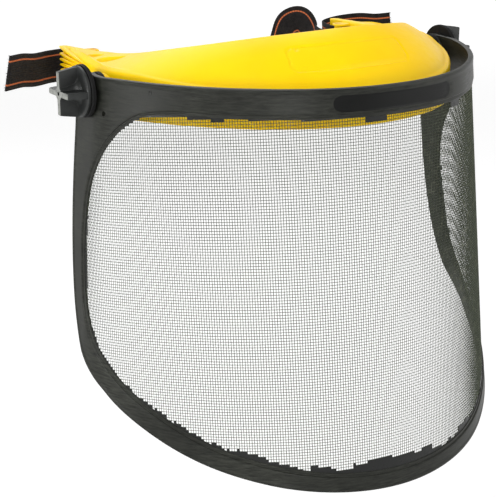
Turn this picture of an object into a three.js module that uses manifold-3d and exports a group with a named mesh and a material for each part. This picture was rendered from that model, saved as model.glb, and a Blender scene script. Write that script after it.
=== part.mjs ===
// Mesh face shield: a brow guard with a foam sweatband and an elastic head strap, and a framed
// wire-screen visor that flips up on two star knobs at the temples.
// Millimetres. +Z is up and the wearer looks along -Y. The origin is the middle of the flip axis,
// which runs along X through both knobs. The wearer's right is -X.
import * as THREE from 'three';
import { mergeVertices } from 'three/addons/utils/BufferGeometryUtils.js';
import Module from 'manifold-3d';

const wasm = await Module();
wasm.setup();

const degrees = THREE.MathUtils.degToRad;
const mix = THREE.MathUtils.lerp;
const GAP = 0.3; // between pieces that touch on the real object

// ---- Visor: driving dimensions ----
// The frame seen from above: a round front, flatter sides and a tight turn into the straight ears.
const VISOR_ARCS = [
  { radius: 105, turn: degrees(35) },
  { radius: 165, turn: degrees(33) },
  { radius: 40, turn: degrees(22) },
];
const EAR_START_Y = -6; // where the tight turn ends and the straight ear begins
const FLARE = 0.0937; // the wall leans out this much for each millimetre down
const TOP_Z = 9; // top edge of the frame
const FRAME_HALF_THICKNESS = 1.4;
const SCREEN_HALF_THICKNESS = 0.3;
const SCREEN_SLOT_GAP = 0.45; // wider than GAP, because both surfaces curve
const SMALL_HOLE = { y: -17, z: -10, radius: 1.5 }; // in each ear, in front of the pivot
const SCREEN_GROOVE = 3.2; // depth of the groove in the frame that holds the screen's edge
const SCREEN_GRIP = 2.6; // how far the screen reaches into the groove
const SHEET_CENTRE_H = 105; // middle of the screen, measured down from the top edge
const FRAME_STATIONS = 92;
// Each row pairs a point of the frame's outer edge with the point of its opening across from it:
// [outer s, outer h, opening s, opening h]. s runs along the wall from the front centre and h runs
// down from the top edge. The other half is a mirror image.
const FRAME_EDGES = [
  [0, 0, 0, 15.5],
  [45, 0, 45, 15.5],
  [90, 0, 90, 15.5],
  [130, 0, 122, 15.5],
  [165, 0, 139, 18],
  [186, 1.5, 150, 24],
  [193.5, 12, 159, 32.5],
  [194.5, 34, 168, 46],
  [194.5, 62, 175.5, 64],
  [193, 88, 178, 86],
  [189.5, 114, 176, 110],
  [183.5, 138, 171, 134],
  [173.5, 159, 162, 153],
  [156, 177, 147, 167.5],
  [131, 192, 125, 180.5],
  [101, 205, 97, 193.5],
  [68, 214, 66, 202.5],
  [34, 219.5, 33, 208.5],
  [0, 221.5, 0, 210.5],
];

// ---- Pivot hardware: driving dimensions, measured along X from the centre plane ----
const GUARD_BOSS = { inner: 108.5, outer: 115.6, radius: 10.5 };
const SPACER = { inner: 115.9, outer: 118.9, radius: 9.5, bore: 3.2 };
const EAR_BOSS = { inner: 119.2, outer: 125.2, radius: 12 };
const FRICTION_WASHER = { inner: 125.5, outer: 128, radius: 14.5, bore: 3.2 };
const KNOB = {
  inner: 128.3,
  flange: 130.6,
  outer: 141.5,
  flangeRadius: 14,
  rootRadius: 7.5,
  hubRadius: 4.4,
  wingThickness: 3.4,
  wingRootReach: 13.6,
  wingTipReach: 12.6,
  centreHole: 1.1,
};
const STEEL_WASHER = { inner: 128.6, outer: 129.6, radius: 7.2, bore: 2.8 };
const NUT = { inner: 129.9, outer: 133.9, acrossFlats: 8, bore: 2.8 };
const BOLT = { headInner: 105.2, headOuter: 108.2, headRadius: 6.2, shankOuter: 137.5, shankRadius: 2.5 };
const BOLT_BORE = 2.8;
const ROUND = 32; // sides of a round piece

// ---- Brow guard: driving dimensions ----
const GUARD_WALL = 2.4;
const GUARD_STATIONS = 40;
// Right half of the guard from the front centre back to the temple:
// [skirt x, skirt y, skirt top z, skirt bottom z, crest x, crest y, crest z]
const GUARD_EDGES = [
  [0, -101, 3, -14.5, 0, -65, 32],
  [30, -96.3, 3, -14.5, 24.6, -61.3, 31],
  [58, -82.6, 3.6, -14.5, 47.5, -50.3, 28.6],
  [80.5, -61.5, 5, -14.7, 67.2, -32.8, 24.6],
  [96, -39.5, 7, -15, 80.6, -13.3, 20.5],
  [105.5, -17.5, 8.8, -15.4, 88.1, 3.8, 17],
  [109.8, 0, 9.4, -15.6, 92.2, 18.4, 15],
  [110.4, 18, 9.8, -15, 94.5, 33.5, 14],
];
const HEADBAND_BOTTOM_Z = -8;
const SHOULDER_DROP = 1.5; // from the skirt's top edge to where the dome's rounded shoulder starts
const DOME_POINTS = [[0.74, 0.36], [0.4, 0.76]]; // share of the width and of the rise to the crest

// The one moulding is divided into three nodes: its skirt and its headband wall end this far below
// the edge above them, and in front of this plane.
const SKIRT_SPLIT = { drop: 4, endY: -14 };
const HEADBAND_SPLIT = { drop: 6, endY: 10 };
// Temple arm, from the crown's end back to the lug that holds the strap:
// [outer x, outer y, inner x, inner y, bottom z, outer top z, inner top z]
const ARM_EDGES = [
  [110.2, 14, 93.6, 29.5, -14, 9, 13.4],
  [109.6, 32, 95, 40, -13.8, 10.8, 13.2],
  [107, 50, 96.6, 55, -13.4, 11.8, 12.8],
  [103.5, 70, 97.8, 71, -13.2, 12.2, 12.4],
  [101.4, 82.2, 98.6, 82.2, -13.2, 12.2, 12.2],
];
const KEEPER = { x: 90, y: 60, z: -1.5, radius: 2, armX: 99, lipInner: 11.2, lipOuter: 12.6, lipLength: 9 };

// ---- Soft parts: driving dimensions ----
// The pad is highest in the middle and loses `taper` of its height towards each end.
const PAD = { thickness: 6, bottom: -7, top: 26, taper: 12, reach: degrees(60), gap: 0.5, pocketGap: 0.4 };
const HEAD = { halfWidth: 95, halfLength: 110, centreY: 45 }; // the crest's plan, an ellipse
const STUD = { headRadius: 4.2, headThickness: 1.3, headGap: 0.5, shankRadius: 1.9, bore: 2.3, height: 8 };
const STUD_ANGLES = { left_outer: 44, left_inner: 15, right_inner: -15, right_outer: -44 };
const STRAP = { halfWidth: 10, halfThickness: 0.75, stepsPerPoint: 3 };
// Middle line of the strap, from one cut tail through its lug, round the back of the head and out
// through the other lug. The keeper turns are on both sides of each post.
const STRAP_PATH = [
  [-141, 66.5, 1],
  [-121, 78, -1],
  [-106.5, 86.2, -1.5],
  [-98, 86.4, -1.5],
  [-94, 76, -1.5],
  [-93.6, 63, -1.5],
  [-92.2, 57, -1.5],
  [-89.6, 56.3, -1.5],
  [-86.2, 58.6, -1.5],
  [-85, 68, -2],
  [-81, 88, -4],
  [-74, 110, -12],
  [-60, 134, -25],
  [-34, 153, -37],
  [0, 160, -41],
  [34, 154, -38],
  [60, 137, -30],
  [74, 119, -18],
  [79, 112, 0],
  [85, 103, 9.5],
  [90, 91, 2],
  [87, 75, -3],
  [86.1, 60, -1.5],
  [89.6, 56.3, -1.5],
  [92.2, 57, -1.5],
  [93.6, 63, -1.5],
  [94, 76, -1.5],
  [98, 86.4, -0.5],
  [106.5, 86.2, 0.5],
  [121, 78, 2],
  [140, 66.5, 2],
];

// ---- Helpers ----

// The closed mesh with its faces turned out, only its positions kept and collapsed faces dropped.
function closedGeometry(geometry) {
  const bare = geometry.index ? geometry.toNonIndexed() : geometry.clone();
  bare.deleteAttribute('normal');
  bare.deleteAttribute('uv');
  const merged = mergeVertices(bare, 1e-4);
  const p = merged.getAttribute('position');
  const corners = merged.index.array;
  const [a, b, c] = [new THREE.Vector3(), new THREE.Vector3(), new THREE.Vector3()];
  const index = [];
  for (let i = 0; i < corners.length; i += 3) {
    const [first, second, third] = corners.slice(i, i + 3);
    if (first !== second && second !== third && third !== first) index.push(first, second, third);
  }
  let volume = 0;
  for (let i = 0; i < index.length; i += 3) {
    a.fromBufferAttribute(p, index[i]);
    b.fromBufferAttribute(p, index[i + 1]);
    c.fromBufferAttribute(p, index[i + 2]);
    volume += a.dot(b.cross(c));
  }
  if (volume < 0) index.reverse();
  merged.setIndex(index);
  return merged;
}

function toSolid(geometry) {
  const closed = closedGeometry(geometry);
  return new wasm.Manifold(
    new wasm.Mesh({
      numProp: 3,
      vertProperties: new Float32Array(closed.getAttribute('position').array),
      triVerts: new Uint32Array(closed.index.array),
    }),
  );
}

function toGeometry(solid) {
  const mesh = solid.getMesh();
  return new THREE.BufferGeometry()
    .setAttribute('position', new THREE.Float32BufferAttribute(mesh.vertProperties, 3))
    .setIndex(Array.from(mesh.triVerts));
}

// Skins a row of rings of equal length. A closed loft joins the last ring to the first one, and an
// open loft gets a flat cap on each end.
function loft(rings, closed) {
  const count = rings[0].length;
  const positions = rings.flat().flatMap((point) => [point.x, point.y, point.z]);
  const index = [];
  const spans = closed ? rings.length : rings.length - 1;
  for (let r = 0; r < spans; r++) {
    const here = r * count;
    const next = ((r + 1) % rings.length) * count;
    for (let i = 0; i < count; i++) {
      const j = (i + 1) % count;
      index.push(here + i, here + j, next + j, here + i, next + j, next + i);
    }
  }
  if (!closed) {
    for (const [start, turned] of [[0, true], [(rings.length - 1) * count, false]]) {
      for (const [a, b, c] of capTriangles(rings[start / count])) {
        index.push(start + a, start + (turned ? c : b), start + (turned ? b : c));
      }
    }
  }
  return new THREE.BufferGeometry()
    .setAttribute('position', new THREE.Float32BufferAttribute(positions, 3))
    .setIndex(index);
}

// Triangles of a ring's flat cap, found in the ring's own plane.
function capTriangles(ring) {
  const centre = ring.reduce((sum, p) => sum.add(p), new THREE.Vector3()).divideScalar(ring.length);
  const normal = new THREE.Vector3();
  ring.forEach((p, i) => {
    const q = ring[(i + 1) % ring.length];
    normal.add(p.clone().sub(centre).cross(q.clone().sub(centre)));
  });
  normal.normalize();
  const across = ring[0].clone().sub(centre).cross(normal).normalize();
  const along = normal.clone().cross(across);
  const flat = ring.map((p) => {
    const from = p.clone().sub(centre);
    return new THREE.Vector2(from.dot(across), from.dot(along));
  });
  return THREE.ShapeUtils.triangulateShape(flat, []);
}

// A solid of revolution about X. Its profile holds [x, radius] pairs in order round the section.
function turnedAboutX(profile, segments = ROUND) {
  const points = profile.map(([x, radius]) => new THREE.Vector2(radius, x));
  return new THREE.LatheGeometry([...points, points[0]], segments).rotateZ(-Math.PI / 2);
}

const discAboutX = ({ inner, outer, radius }, segments) =>
  turnedAboutX([[inner, 0], [inner, radius], [outer, radius], [outer, 0]], segments);

const ringAboutX = ({ inner, outer, radius, bore }) =>
  turnedAboutX([[inner, bore], [inner, radius], [outer, radius], [outer, bore]]);

// A cylinder for boring through any wall on the +X side.
const cutterAboutX = (radius, segments) => discAboutX({ inner: 98, outer: 145, radius }, segments);

// A solid made for the +X side, put on either side.
const solidOnSide = (side, geometry) => toSolid(geometry.scale(side, 1, 1));

const box = (x0, x1, y0, y1, z0, z1) =>
  new THREE.BoxGeometry(x1 - x0, y1 - y0, z1 - z0).translate((x0 + x1) / 2, (y0 + y1) / 2, (z0 + z1) / 2);

function material(color, roughness, metalness = 0) {
  return new THREE.MeshStandardMaterial({ color, roughness, metalness });
}

// ---- Visor surface ----

const riseOfArcs = VISOR_ARCS.reduce(
  ({ angle, y }, { radius, turn }) => ({
    angle: angle + turn,
    y: y + radius * (Math.cos(angle) - Math.cos(angle + turn)),
  }),
  { angle: 0, y: 0 },
).y;
const VISOR_FRONT_Y = EAR_START_Y - riseOfArcs;

// Point of the visor wall at s along it, h down from its top and `out` outside its middle surface.
function visorPoint(s, h, out = 0) {
  const side = Math.sign(s) || 1;
  let rest = Math.abs(s);
  let angle = 0;
  let x = 0;
  let y = VISOR_FRONT_Y;
  for (const { radius, turn } of VISOR_ARCS) {
    const step = Math.min(rest / radius, turn);
    x += radius * (Math.sin(angle + step) - Math.sin(angle));
    y += radius * (Math.cos(angle) - Math.cos(angle + step));
    angle += step;
    rest -= step * radius;
  }
  const away = FLARE * h + out;
  return new THREE.Vector3(side * (x + away * Math.sin(angle)), y + rest - away * Math.cos(angle), TOP_Z - h);
}

// The frame's outer edge and its opening as closed curves in (s, h).
function frameCurves() {
  const left = FRAME_EDGES.slice(1, -1).reverse().map(([so, ho, si, hi]) => [-so, ho, -si, hi]);
  const rows = [...FRAME_EDGES, ...left];
  const outer = new THREE.CatmullRomCurve3(rows.map(([s, h]) => new THREE.Vector3(s, h, 0)), true);
  const opening = new THREE.CatmullRomCurve3(rows.map(([, , s, h]) => new THREE.Vector3(s, h, 0)), true);
  return Array.from({ length: FRAME_STATIONS }, (_, i) => {
    const at = i / FRAME_STATIONS;
    const [edge, mouth] = [outer.getPoint(at), opening.getPoint(at)];
    return { edge, mouth, width: edge.distanceTo(mouth) };
  });
}
const frameStations = frameCurves();

// The point a given distance from the opening towards the outer edge; a negative one is in the open.
function fromOpening({ edge, mouth, width }, distance) {
  return mouth.clone().lerp(edge, distance / width);
}

// ---- Visor pieces ----

// The frame's section at one station, round from the outer edge: the outer face, the groove for the
// screen and the inner face.
function frameSection(station) {
  const { width } = station;
  const face = FRAME_HALF_THICKNESS;
  const slot = SCREEN_HALF_THICKNESS + SCREEN_SLOT_GAP;
  const outline = [
    [width, face],
    [width * 0.67, face],
    [width * 0.33, face],
    [0, face],
    [0, slot],
    [SCREEN_GROOVE, slot],
    [SCREEN_GROOVE, -slot],
    [0, -slot],
    [0, -face],
    [width * 0.33, -face],
    [width * 0.67, -face],
    [width, -face],
  ];
  return outline.map(([distance, out]) => {
    const at = fromOpening(station, distance);
    return visorPoint(at.x, at.y, out);
  });
}

function visorFrame() {
  let frame = toSolid(loft(frameStations.map(frameSection), true));
  for (const side of [1, -1]) {
    const smallHole = cutterAboutX(SMALL_HOLE.radius, 16).translate(0, SMALL_HOLE.y, SMALL_HOLE.z);
    frame = frame
      .add(solidOnSide(side, discAboutX(EAR_BOSS)))
      .subtract(solidOnSide(side, cutterAboutX(SPACER.bore)))
      .subtract(solidOnSide(side, smallHole));
  }
  return toGeometry(frame);
}

// The woven screen as a plain sheet of its true outline, with its edge held in the frame's groove.
// Rings of points close in on the middle of the sheet.
function visorScreen() {
  const centre = new THREE.Vector3(0, SHEET_CENTRE_H, 0);
  const shrink = [1, 0.82, 0.62, 0.4, 0.18, 0];
  const sheetRay = (station, out) => {
    const inside = fromOpening(station, -1.5);
    const points = [fromOpening(station, SCREEN_GRIP), ...shrink.map((k) => centre.clone().lerp(inside, k))];
    return points.map((at) => visorPoint(at.x, at.y, out));
  };
  const sections = frameStations.map((station) => [
    ...sheetRay(station, SCREEN_HALF_THICKNESS),
    ...sheetRay(station, -SCREEN_HALF_THICKNESS).reverse(),
  ]);
  return loft(sections, true);
}

// ---- Pivot pieces, made for the +X side and mirrored for the other one ----

// One wing of the star knob: a plate that stands on the flange and narrows towards the outer end.
function knobWing() {
  const { flange, inner, outer, wingRootReach, wingTipReach, wingThickness } = KNOB;
  const shape = new THREE.Shape();
  shape.moveTo(inner + 1, 0);
  shape.lineTo(inner + 1, wingRootReach - 0.6);
  shape.lineTo(flange + 1.2, wingRootReach);
  shape.lineTo(outer - 1.6, wingTipReach);
  shape.quadraticCurveTo(outer, wingTipReach - 0.2, outer, wingTipReach - 1.8);
  shape.lineTo(outer, 0);
  return new THREE.ExtrudeGeometry(shape, { depth: wingThickness, bevelEnabled: false, curveSegments: 4 })
    .translate(0, 0, -wingThickness / 2);
}

function knob() {
  const { inner, flange, outer, flangeRadius, hubRadius, rootRadius, centreHole } = KNOB;
  // The flange and the hub's flared root are one turned piece.
  let body = toSolid(turnedAboutX([
    [inner, 0],
    [inner, flangeRadius],
    [flange - 0.5, flangeRadius],
    [flange, flangeRadius - 0.7],
    [flange + 0.8, rootRadius + 3],
    [flange + 3.2, rootRadius],
    [outer - 3, hubRadius + 0.8],
    [outer, hubRadius],
    [outer, 0],
  ]));
  for (let wing = 0; wing < 4; wing++) {
    body = body.add(toSolid(knobWing().rotateX((wing * Math.PI) / 2)));
  }
  const hollows = [
    discAboutX({ inner: inner - 1, outer: STEEL_WASHER.outer + GAP, radius: STEEL_WASHER.radius + GAP }),
    nutPrism(inner - 1, NUT.outer + GAP, NUT.acrossFlats + 2 * GAP),
    discAboutX({ inner: inner - 1, outer: BOLT.shankOuter + 0.6, radius: BOLT_BORE }),
    discAboutX({ inner: outer - 2, outer: outer + 1, radius: centreHole }, 16),
  ];
  return toGeometry(hollows.reduce((solid, hollow) => solid.subtract(toSolid(hollow)), body));
}

const nutPrism = (inner, outer, acrossFlats) =>
  discAboutX({ inner, outer, radius: acrossFlats / 2 / Math.cos(Math.PI / 6) }, 6);

function nut() {
  const blank = toSolid(nutPrism(NUT.inner, NUT.outer, NUT.acrossFlats));
  const bore = discAboutX({ inner: NUT.inner - 1, outer: NUT.outer + 1, radius: NUT.bore });
  return toGeometry(blank.subtract(toSolid(bore)));
}

// A mushroom-head bolt whose head bears on the inside of the guard.
function pivotBolt() {
  const { headInner, headOuter, headRadius, shankOuter, shankRadius } = BOLT;
  return turnedAboutX([
    [headInner, 0],
    [headInner, headRadius * 0.5],
    [headInner + 1, headRadius * 0.85],
    [headInner + 2, headRadius],
    [headOuter, headRadius],
    [headOuter, shankRadius],
    [shankOuter - 0.6, shankRadius],
    [shankOuter, shankRadius - 0.6],
    [shankOuter, 0],
  ], 24);
}

// ---- Brow guard ----

// A curve through one trio of columns of the guard's table, mirrored across the centre plane.
function mirroredCurve(rows, columns) {
  const right = rows.map((row) => new THREE.Vector3(...columns.map((column) => row[column])));
  const left = right.slice(1).reverse().map((p) => new THREE.Vector3(-p.x, p.y, p.z));
  return new THREE.CatmullRomCurve3([...left, ...right]);
}

// The arched shell's stations, from the wearer's right temple round to the left. `place` turns a
// distance forward of the crest and a height into a point.
function crownStations() {
  const skirtTop = mirroredCurve(GUARD_EDGES, [0, 1, 2]);
  const skirtBottom = mirroredCurve(GUARD_EDGES, [0, 1, 3]);
  const crest = mirroredCurve(GUARD_EDGES, [4, 5, 6]);
  return Array.from({ length: GUARD_STATIONS + 1 }, (_, i) => {
    const at = i / GUARD_STATIONS;
    const [front, low, back] = [skirtTop.getPoint(at), skirtBottom.getPoint(at), crest.getPoint(at)];
    const width = Math.hypot(front.x - back.x, front.y - back.y);
    const [ux, uy] = [(front.x - back.x) / width, (front.y - back.y) / width];
    const place = ([forward, z]) => new THREE.Vector3(back.x + ux * forward, back.y + uy * forward, z);
    return { front, low, back, width, place };
  });
}

// The arched shell's section: skirt, sloping dome, crest and headband wall, open below.
function crownSections() {
  return crownStations().map(({ front, low, back, width, place }) => {
    const domeAt = ([across, up]) => [width * across, front.z + (back.z - front.z) * up];
    const [lowDome, highDome] = DOME_POINTS.map(domeAt);
    const under = ([forward, z]) => [forward, z - GUARD_WALL * 1.2];
    return [
      [width, low.z],
      [width, front.z - SHOULDER_DROP],
      [width - 1.2, front.z + 1],
      lowDome,
      highDome,
      [GUARD_WALL, back.z],
      [0.6, back.z - 0.8],
      [0, back.z - 2.6],
      [0, HEADBAND_BOTTOM_Z],
      [GUARD_WALL, HEADBAND_BOTTOM_Z],
      [GUARD_WALL, back.z - GUARD_WALL - 1],
      under(highDome),
      under(lowDome),
      [width - GUARD_WALL, front.z - SHOULDER_DROP],
      [width - GUARD_WALL, low.z],
    ].map(place);
  });
}

// The part of a wall between two distances forward of the crest and under a top, both of which
// may differ from station to station, in front of the plane y = endY.
function wallPart(edges, endY) {
  const rings = crownStations().map((station) => {
    const { inner, outer, bottom, top } = edges(station);
    return [[inner, bottom], [outer, bottom], [outer, top], [inner, top]].map(station.place);
  });
  return toSolid(loft(rings, false)).intersect(toSolid(box(-150, 150, -150, endY, -50, 50)));
}

// The skirt below the shoulder. With `room` it is the space cut out of the shell for it.
const skirtPart = (room = 0) => wallPart(({ width, low, front }) => ({
  inner: width - GUARD_WALL - room,
  outer: width + room,
  bottom: low.z - room,
  top: front.z - SKIRT_SPLIT.drop + Math.min(room, GAP),
}), SKIRT_SPLIT.endY + Math.min(room, GAP));

// The headband wall below the crest, in the same way.
const headbandPart = (room = 0) => wallPart(({ back }) => ({
  inner: -room,
  outer: GUARD_WALL + room,
  bottom: HEADBAND_BOTTOM_Z - room,
  top: back.z - HEADBAND_SPLIT.drop + Math.min(room, GAP),
}), HEADBAND_SPLIT.endY + Math.min(room, GAP));

// A temple arm: a solid bar that thins to a plate where the strap goes round its end.
function armSolid(side) {
  const rings = ARM_EDGES.map(([xo, yo, xi, yi, bottom, outerTop, innerTop]) => [
    new THREE.Vector3(side * xo, yo, bottom),
    new THREE.Vector3(side * xo, yo, outerTop - 1.2),
    new THREE.Vector3(side * mix(xo, xi, 0.15), mix(yo, yi, 0.15), outerTop),
    new THREE.Vector3(side * xi, yi, innerTop),
    new THREE.Vector3(side * xi, yi, bottom),
  ]);
  return toSolid(loft(rings, false));
}

// The post that the strap turns round, with the two lips that tie it to the arm.
function keeperSolid(side) {
  const { x, y, z, radius, armX, lipInner, lipOuter, lipLength } = KEEPER;
  const post = new THREE.CylinderGeometry(radius, radius, 2 * lipOuter, 20).rotateX(Math.PI / 2);
  let keeper = solidOnSide(side, post.translate(x, y, z));
  for (const [bottom, top] of [[lipInner, lipOuter], [-lipOuter, -lipInner]]) {
    const lip = box(x - radius, armX, y - lipLength / 2, y + lipLength / 2, z + bottom, z + top);
    keeper = keeper.add(solidOnSide(side, lip));
  }
  return keeper;
}

// A place on the headband: the angle runs from the front centre and `inward` goes towards the head.
function headbandPoint(angle, inward, z) {
  const { halfWidth, halfLength, centreY } = HEAD;
  const normal = new THREE.Vector2(Math.sin(angle) * halfLength, -Math.cos(angle) * halfWidth).normalize();
  return new THREE.Vector3(
    halfWidth * Math.sin(angle) - inward * normal.x,
    centreY - halfLength * Math.cos(angle) - inward * normal.y,
    z,
  );
}

// Turns a piece made along X so that it points from the head out through the headband.
function placeOnHeadband(geometry, angleDegrees) {
  const angle = degrees(angleDegrees);
  const out = headbandPoint(angle, -1, 0).sub(headbandPoint(angle, 0, 0));
  const at = headbandPoint(angle, 0, STUD.height);
  return geometry.rotateZ(Math.atan2(out.y, out.x)).translate(at.x, at.y, at.z);
}

function browGuard() {
  const cutterRoom = 1;
  let guard = toSolid(loft(crownSections(), false))
    .subtract(skirtPart(cutterRoom))
    .subtract(headbandPart(cutterRoom));
  for (const side of [1, -1]) {
    const headRoom = { inner: 98, outer: GUARD_BOSS.inner, radius: BOLT.headRadius + 1 };
    guard = guard
      .add(armSolid(side))
      .add(keeperSolid(side))
      .add(solidOnSide(side, discAboutX(GUARD_BOSS)))
      .subtract(solidOnSide(side, discAboutX(headRoom)))
      .subtract(solidOnSide(side, cutterAboutX(BOLT_BORE)));
  }
  return toGeometry(guard);
}

function headbandWall() {
  let wall = headbandPart();
  for (const angle of Object.values(STUD_ANGLES)) {
    const studHole = discAboutX({ inner: -2, outer: 6, radius: STUD.bore }, 20);
    wall = wall.subtract(toSolid(placeOnHeadband(studHole, angle)));
  }
  return toGeometry(wall);
}

// ---- Soft pieces ----

// The foam sweatband, with a pocket in its back for each stud's head.
function foreheadPad() {
  const { thickness, bottom, taper, reach, gap } = PAD;
  const round = 2;
  const steps = 28;
  const rings = Array.from({ length: steps + 1 }, (_, i) => {
    const across = (2 * i) / steps - 1;
    const top = PAD.top - taper * across ** 2;
    const section = [
      [gap, bottom],
      [gap, top],
      [gap + thickness - round, top],
      [gap + thickness, top - round],
      [gap + thickness, bottom + round],
      [gap + thickness - round, bottom],
    ];
    return section.map(([inward, z]) => headbandPoint(across * reach, inward, z));
  });
  let pad = toSolid(loft(rings, false));
  for (const angle of Object.values(STUD_ANGLES)) {
    const pocket = discAboutX({ inner: -3, outer: 3, radius: STUD.headRadius + PAD.pocketGap }, 20);
    pad = pad.subtract(toSolid(placeOnHeadband(pocket, angle)));
  }
  return toGeometry(pad);
}

// A push stud: its flat head sits in the pad's pocket and its shank snaps through the headband.
function padStud(angle) {
  const { headRadius, headThickness, headGap, shankRadius } = STUD;
  return placeOnHeadband(turnedAboutX([
    [-headGap - headThickness, 0],
    [-headGap - headThickness, headRadius],
    [-headGap, headRadius],
    [-headGap, shankRadius],
    [GUARD_WALL + 1.6, shankRadius],
    [GUARD_WALL + 2.6, shankRadius - 0.8],
    [GUARD_WALL + 2.6, 0],
  ], 16), angle);
}

// The elastic strap: a flat band swept along its middle line, standing on edge.
function headStrap() {
  const curve = new THREE.CatmullRomCurve3(STRAP_PATH.map((point) => new THREE.Vector3(...point)));
  const steps = (STRAP_PATH.length - 1) * STRAP.stepsPerPoint;
  const rings = Array.from({ length: steps + 1 }, (_, i) => {
    const centre = curve.getPoint(i / steps);
    const along = curve.getTangent(i / steps);
    const across = new THREE.Vector3(along.y, -along.x, 0).normalize();
    const { halfWidth, halfThickness } = STRAP;
    const corners = [[1, 1], [1, -1], [-1, -1], [-1, 1]];
    return corners.map(([t, w]) =>
      centre.clone().addScaledVector(across, t * halfThickness).add(new THREE.Vector3(0, 0, w * halfWidth)),
    );
  });
  return loft(rings, false);
}

// ---- Assembly ----

const root = new THREE.Group();

function addPiece(parent, name, geometry, look) {
  const mesh = new THREE.Mesh(closedGeometry(geometry), look);
  mesh.name = name;
  parent.add(mesh);
}

addPiece(root, 'brow_guard', browGuard(), material(0xffd814, 0.38));
addPiece(root, 'brow_skirt', toGeometry(skirtPart()), material(0xffd814, 0.38));
addPiece(root, 'headband_wall', headbandWall(), material(0xffd814, 0.38));
addPiece(root, 'forehead_pad', foreheadPad(), material(0x2c2c2e, 0.95));
addPiece(root, 'head_strap', headStrap(), material(0x1a1718, 0.92));
for (const [place, angle] of Object.entries(STUD_ANGLES)) {
  addPiece(root, `pad_stud_${place}`, padStud(angle), material(0x26272a, 0.5));
}

const visor = new THREE.Group();
root.add(visor);
addPiece(visor, 'visor_frame', visorFrame(), material(0x33352f, 0.55));
addPiece(visor, 'visor_screen', visorScreen(), material(0x2b302c, 0.5, 0.6));

for (const [name, side] of [['right', -1], ['left', 1]]) {
  const pivot = new THREE.Group();
  root.add(pivot);
  const mirrored = (geometry) => geometry.scale(side, 1, 1);
  addPiece(pivot, `pivot_bolt_${name}`, mirrored(pivotBolt()), material(0xb9bcc0, 0.35, 1));
  addPiece(pivot, `spacer_washer_${name}`, mirrored(ringAboutX(SPACER)), material(0x2a2b2c, 0.6));
  addPiece(pivot, `friction_washer_${name}`, mirrored(ringAboutX(FRICTION_WASHER)), material(0x141414, 0.85));
  addPiece(pivot, `knob_${name}`, mirrored(knob()), material(0x3d4043, 0.5));
  addPiece(pivot, `knob_nut_${name}`, mirrored(nut()), material(0xb9bcc0, 0.35, 1));
  addPiece(pivot, `knob_washer_${name}`, mirrored(ringAboutX(STEEL_WASHER)), material(0xb9bcc0, 0.35, 1));
}

export default root;
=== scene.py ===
"""Looks of the mesh face shield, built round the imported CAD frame. Lengths are millimetres until a
mesh is made. +Z is up, the wearer looks along -Y and the visor flips about X through the origin."""
import math
import random

import bmesh
import bpy
from mathutils import Matrix, Vector


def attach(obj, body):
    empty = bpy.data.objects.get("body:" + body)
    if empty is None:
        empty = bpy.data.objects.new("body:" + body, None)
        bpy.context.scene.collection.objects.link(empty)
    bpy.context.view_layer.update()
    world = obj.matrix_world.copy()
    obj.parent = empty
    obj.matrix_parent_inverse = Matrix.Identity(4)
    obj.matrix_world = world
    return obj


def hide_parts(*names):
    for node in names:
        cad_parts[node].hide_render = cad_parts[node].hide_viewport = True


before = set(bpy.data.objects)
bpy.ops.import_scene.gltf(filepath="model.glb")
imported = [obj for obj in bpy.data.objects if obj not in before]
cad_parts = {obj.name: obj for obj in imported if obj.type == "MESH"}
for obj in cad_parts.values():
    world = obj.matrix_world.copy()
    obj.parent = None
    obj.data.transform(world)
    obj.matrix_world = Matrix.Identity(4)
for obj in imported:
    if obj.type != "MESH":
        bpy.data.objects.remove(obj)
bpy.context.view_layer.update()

MM = 0.001
RIGHT, LEFT = -1, 1
SIDES = ((RIGHT, "right"), (LEFT, "left"))

# ---- Visor: the sizes of the CAD frame ----
VISOR_ARCS = [(105, math.radians(35)), (165, math.radians(33)), (40, math.radians(22))]
EAR_START_Y = -6
FLARE = 0.0937
TOP_Z = 9
# Rows of (s, h) on the frame's outer edge and (s, h) on its opening, from the top middle down the
# wearer's left side to the bottom middle. s runs along the top edge and h runs down the wall.
FRAME_EDGES = [
    (0, 0, 0, 15.5), (45, 0, 45, 15.5), (90, 0, 90, 15.5), (130, 0, 122, 15.5), (165, 0, 139, 18),
    (186, 1.5, 150, 24), (193.5, 12, 159, 32.5), (194.5, 34, 168, 46), (194.5, 62, 175.5, 64),
    (193, 88, 178, 86), (189.5, 114, 176, 110), (183.5, 138, 171, 134), (173.5, 159, 162, 153),
    (156, 177, 147, 167.5), (131, 192, 125, 180.5), (101, 205, 97, 193.5), (68, 214, 66, 202.5),
    (34, 219.5, 33, 208.5), (0, 221.5, 0, 210.5),
]

# ---- Screen weave ----
WIRES_PER_INCH = (18, 16)
PITCH_ACROSS = 25.4 / WIRES_PER_INCH[0]
PITCH_DOWN = 25.4 / WIRES_PER_INCH[1]
WIRE_RADIUS = 0.156
WIRE_WAVE = 0.15

# ---- Camera and stage ----
CAMERA_PLACE = (-414.4, -605.0, 132.0)
CAMERA_FORWARD = (0.4876, 0.8112, -0.3228)
CAMERA_RIGHT = (0.8554, -0.5179, -0.0093)
CAMERA_LENS = 90.0
CAMERA_SHIFT = (0.087, 0.0155)

# Each lamp's name, place, power in watts and size in metres.
LAMPS = [
    ("key", (-950, -500, 750), 9, 0.7),
    ("fill", (900, -1100, 500), 8.6, 1.0),
    ("front", (-700, -1190, -40), 3, 0.24),
    ("side", (-1300, 20, -20), 4.5, 0.28),
    ("back", (200, 800, 900), 11, 1.2),
]
LAMP_TARGET = (0, 0, -80)

# In metres.
FLOOR_RADIUS = 6.0
FLOOR_Z = -0.42
# The table glows a little more further out, where the lamps no longer reach it.
FLOOR_GLOW_REACH = (0.4, 3.0)
FLOOR_GLOW = (0.4, 0.8)
# The sky is white at the horizon and dimmer above it.
SKY_FADE = (0.1, 0.55)
SKY_STRENGTH = (0.97, 0.33)


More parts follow.
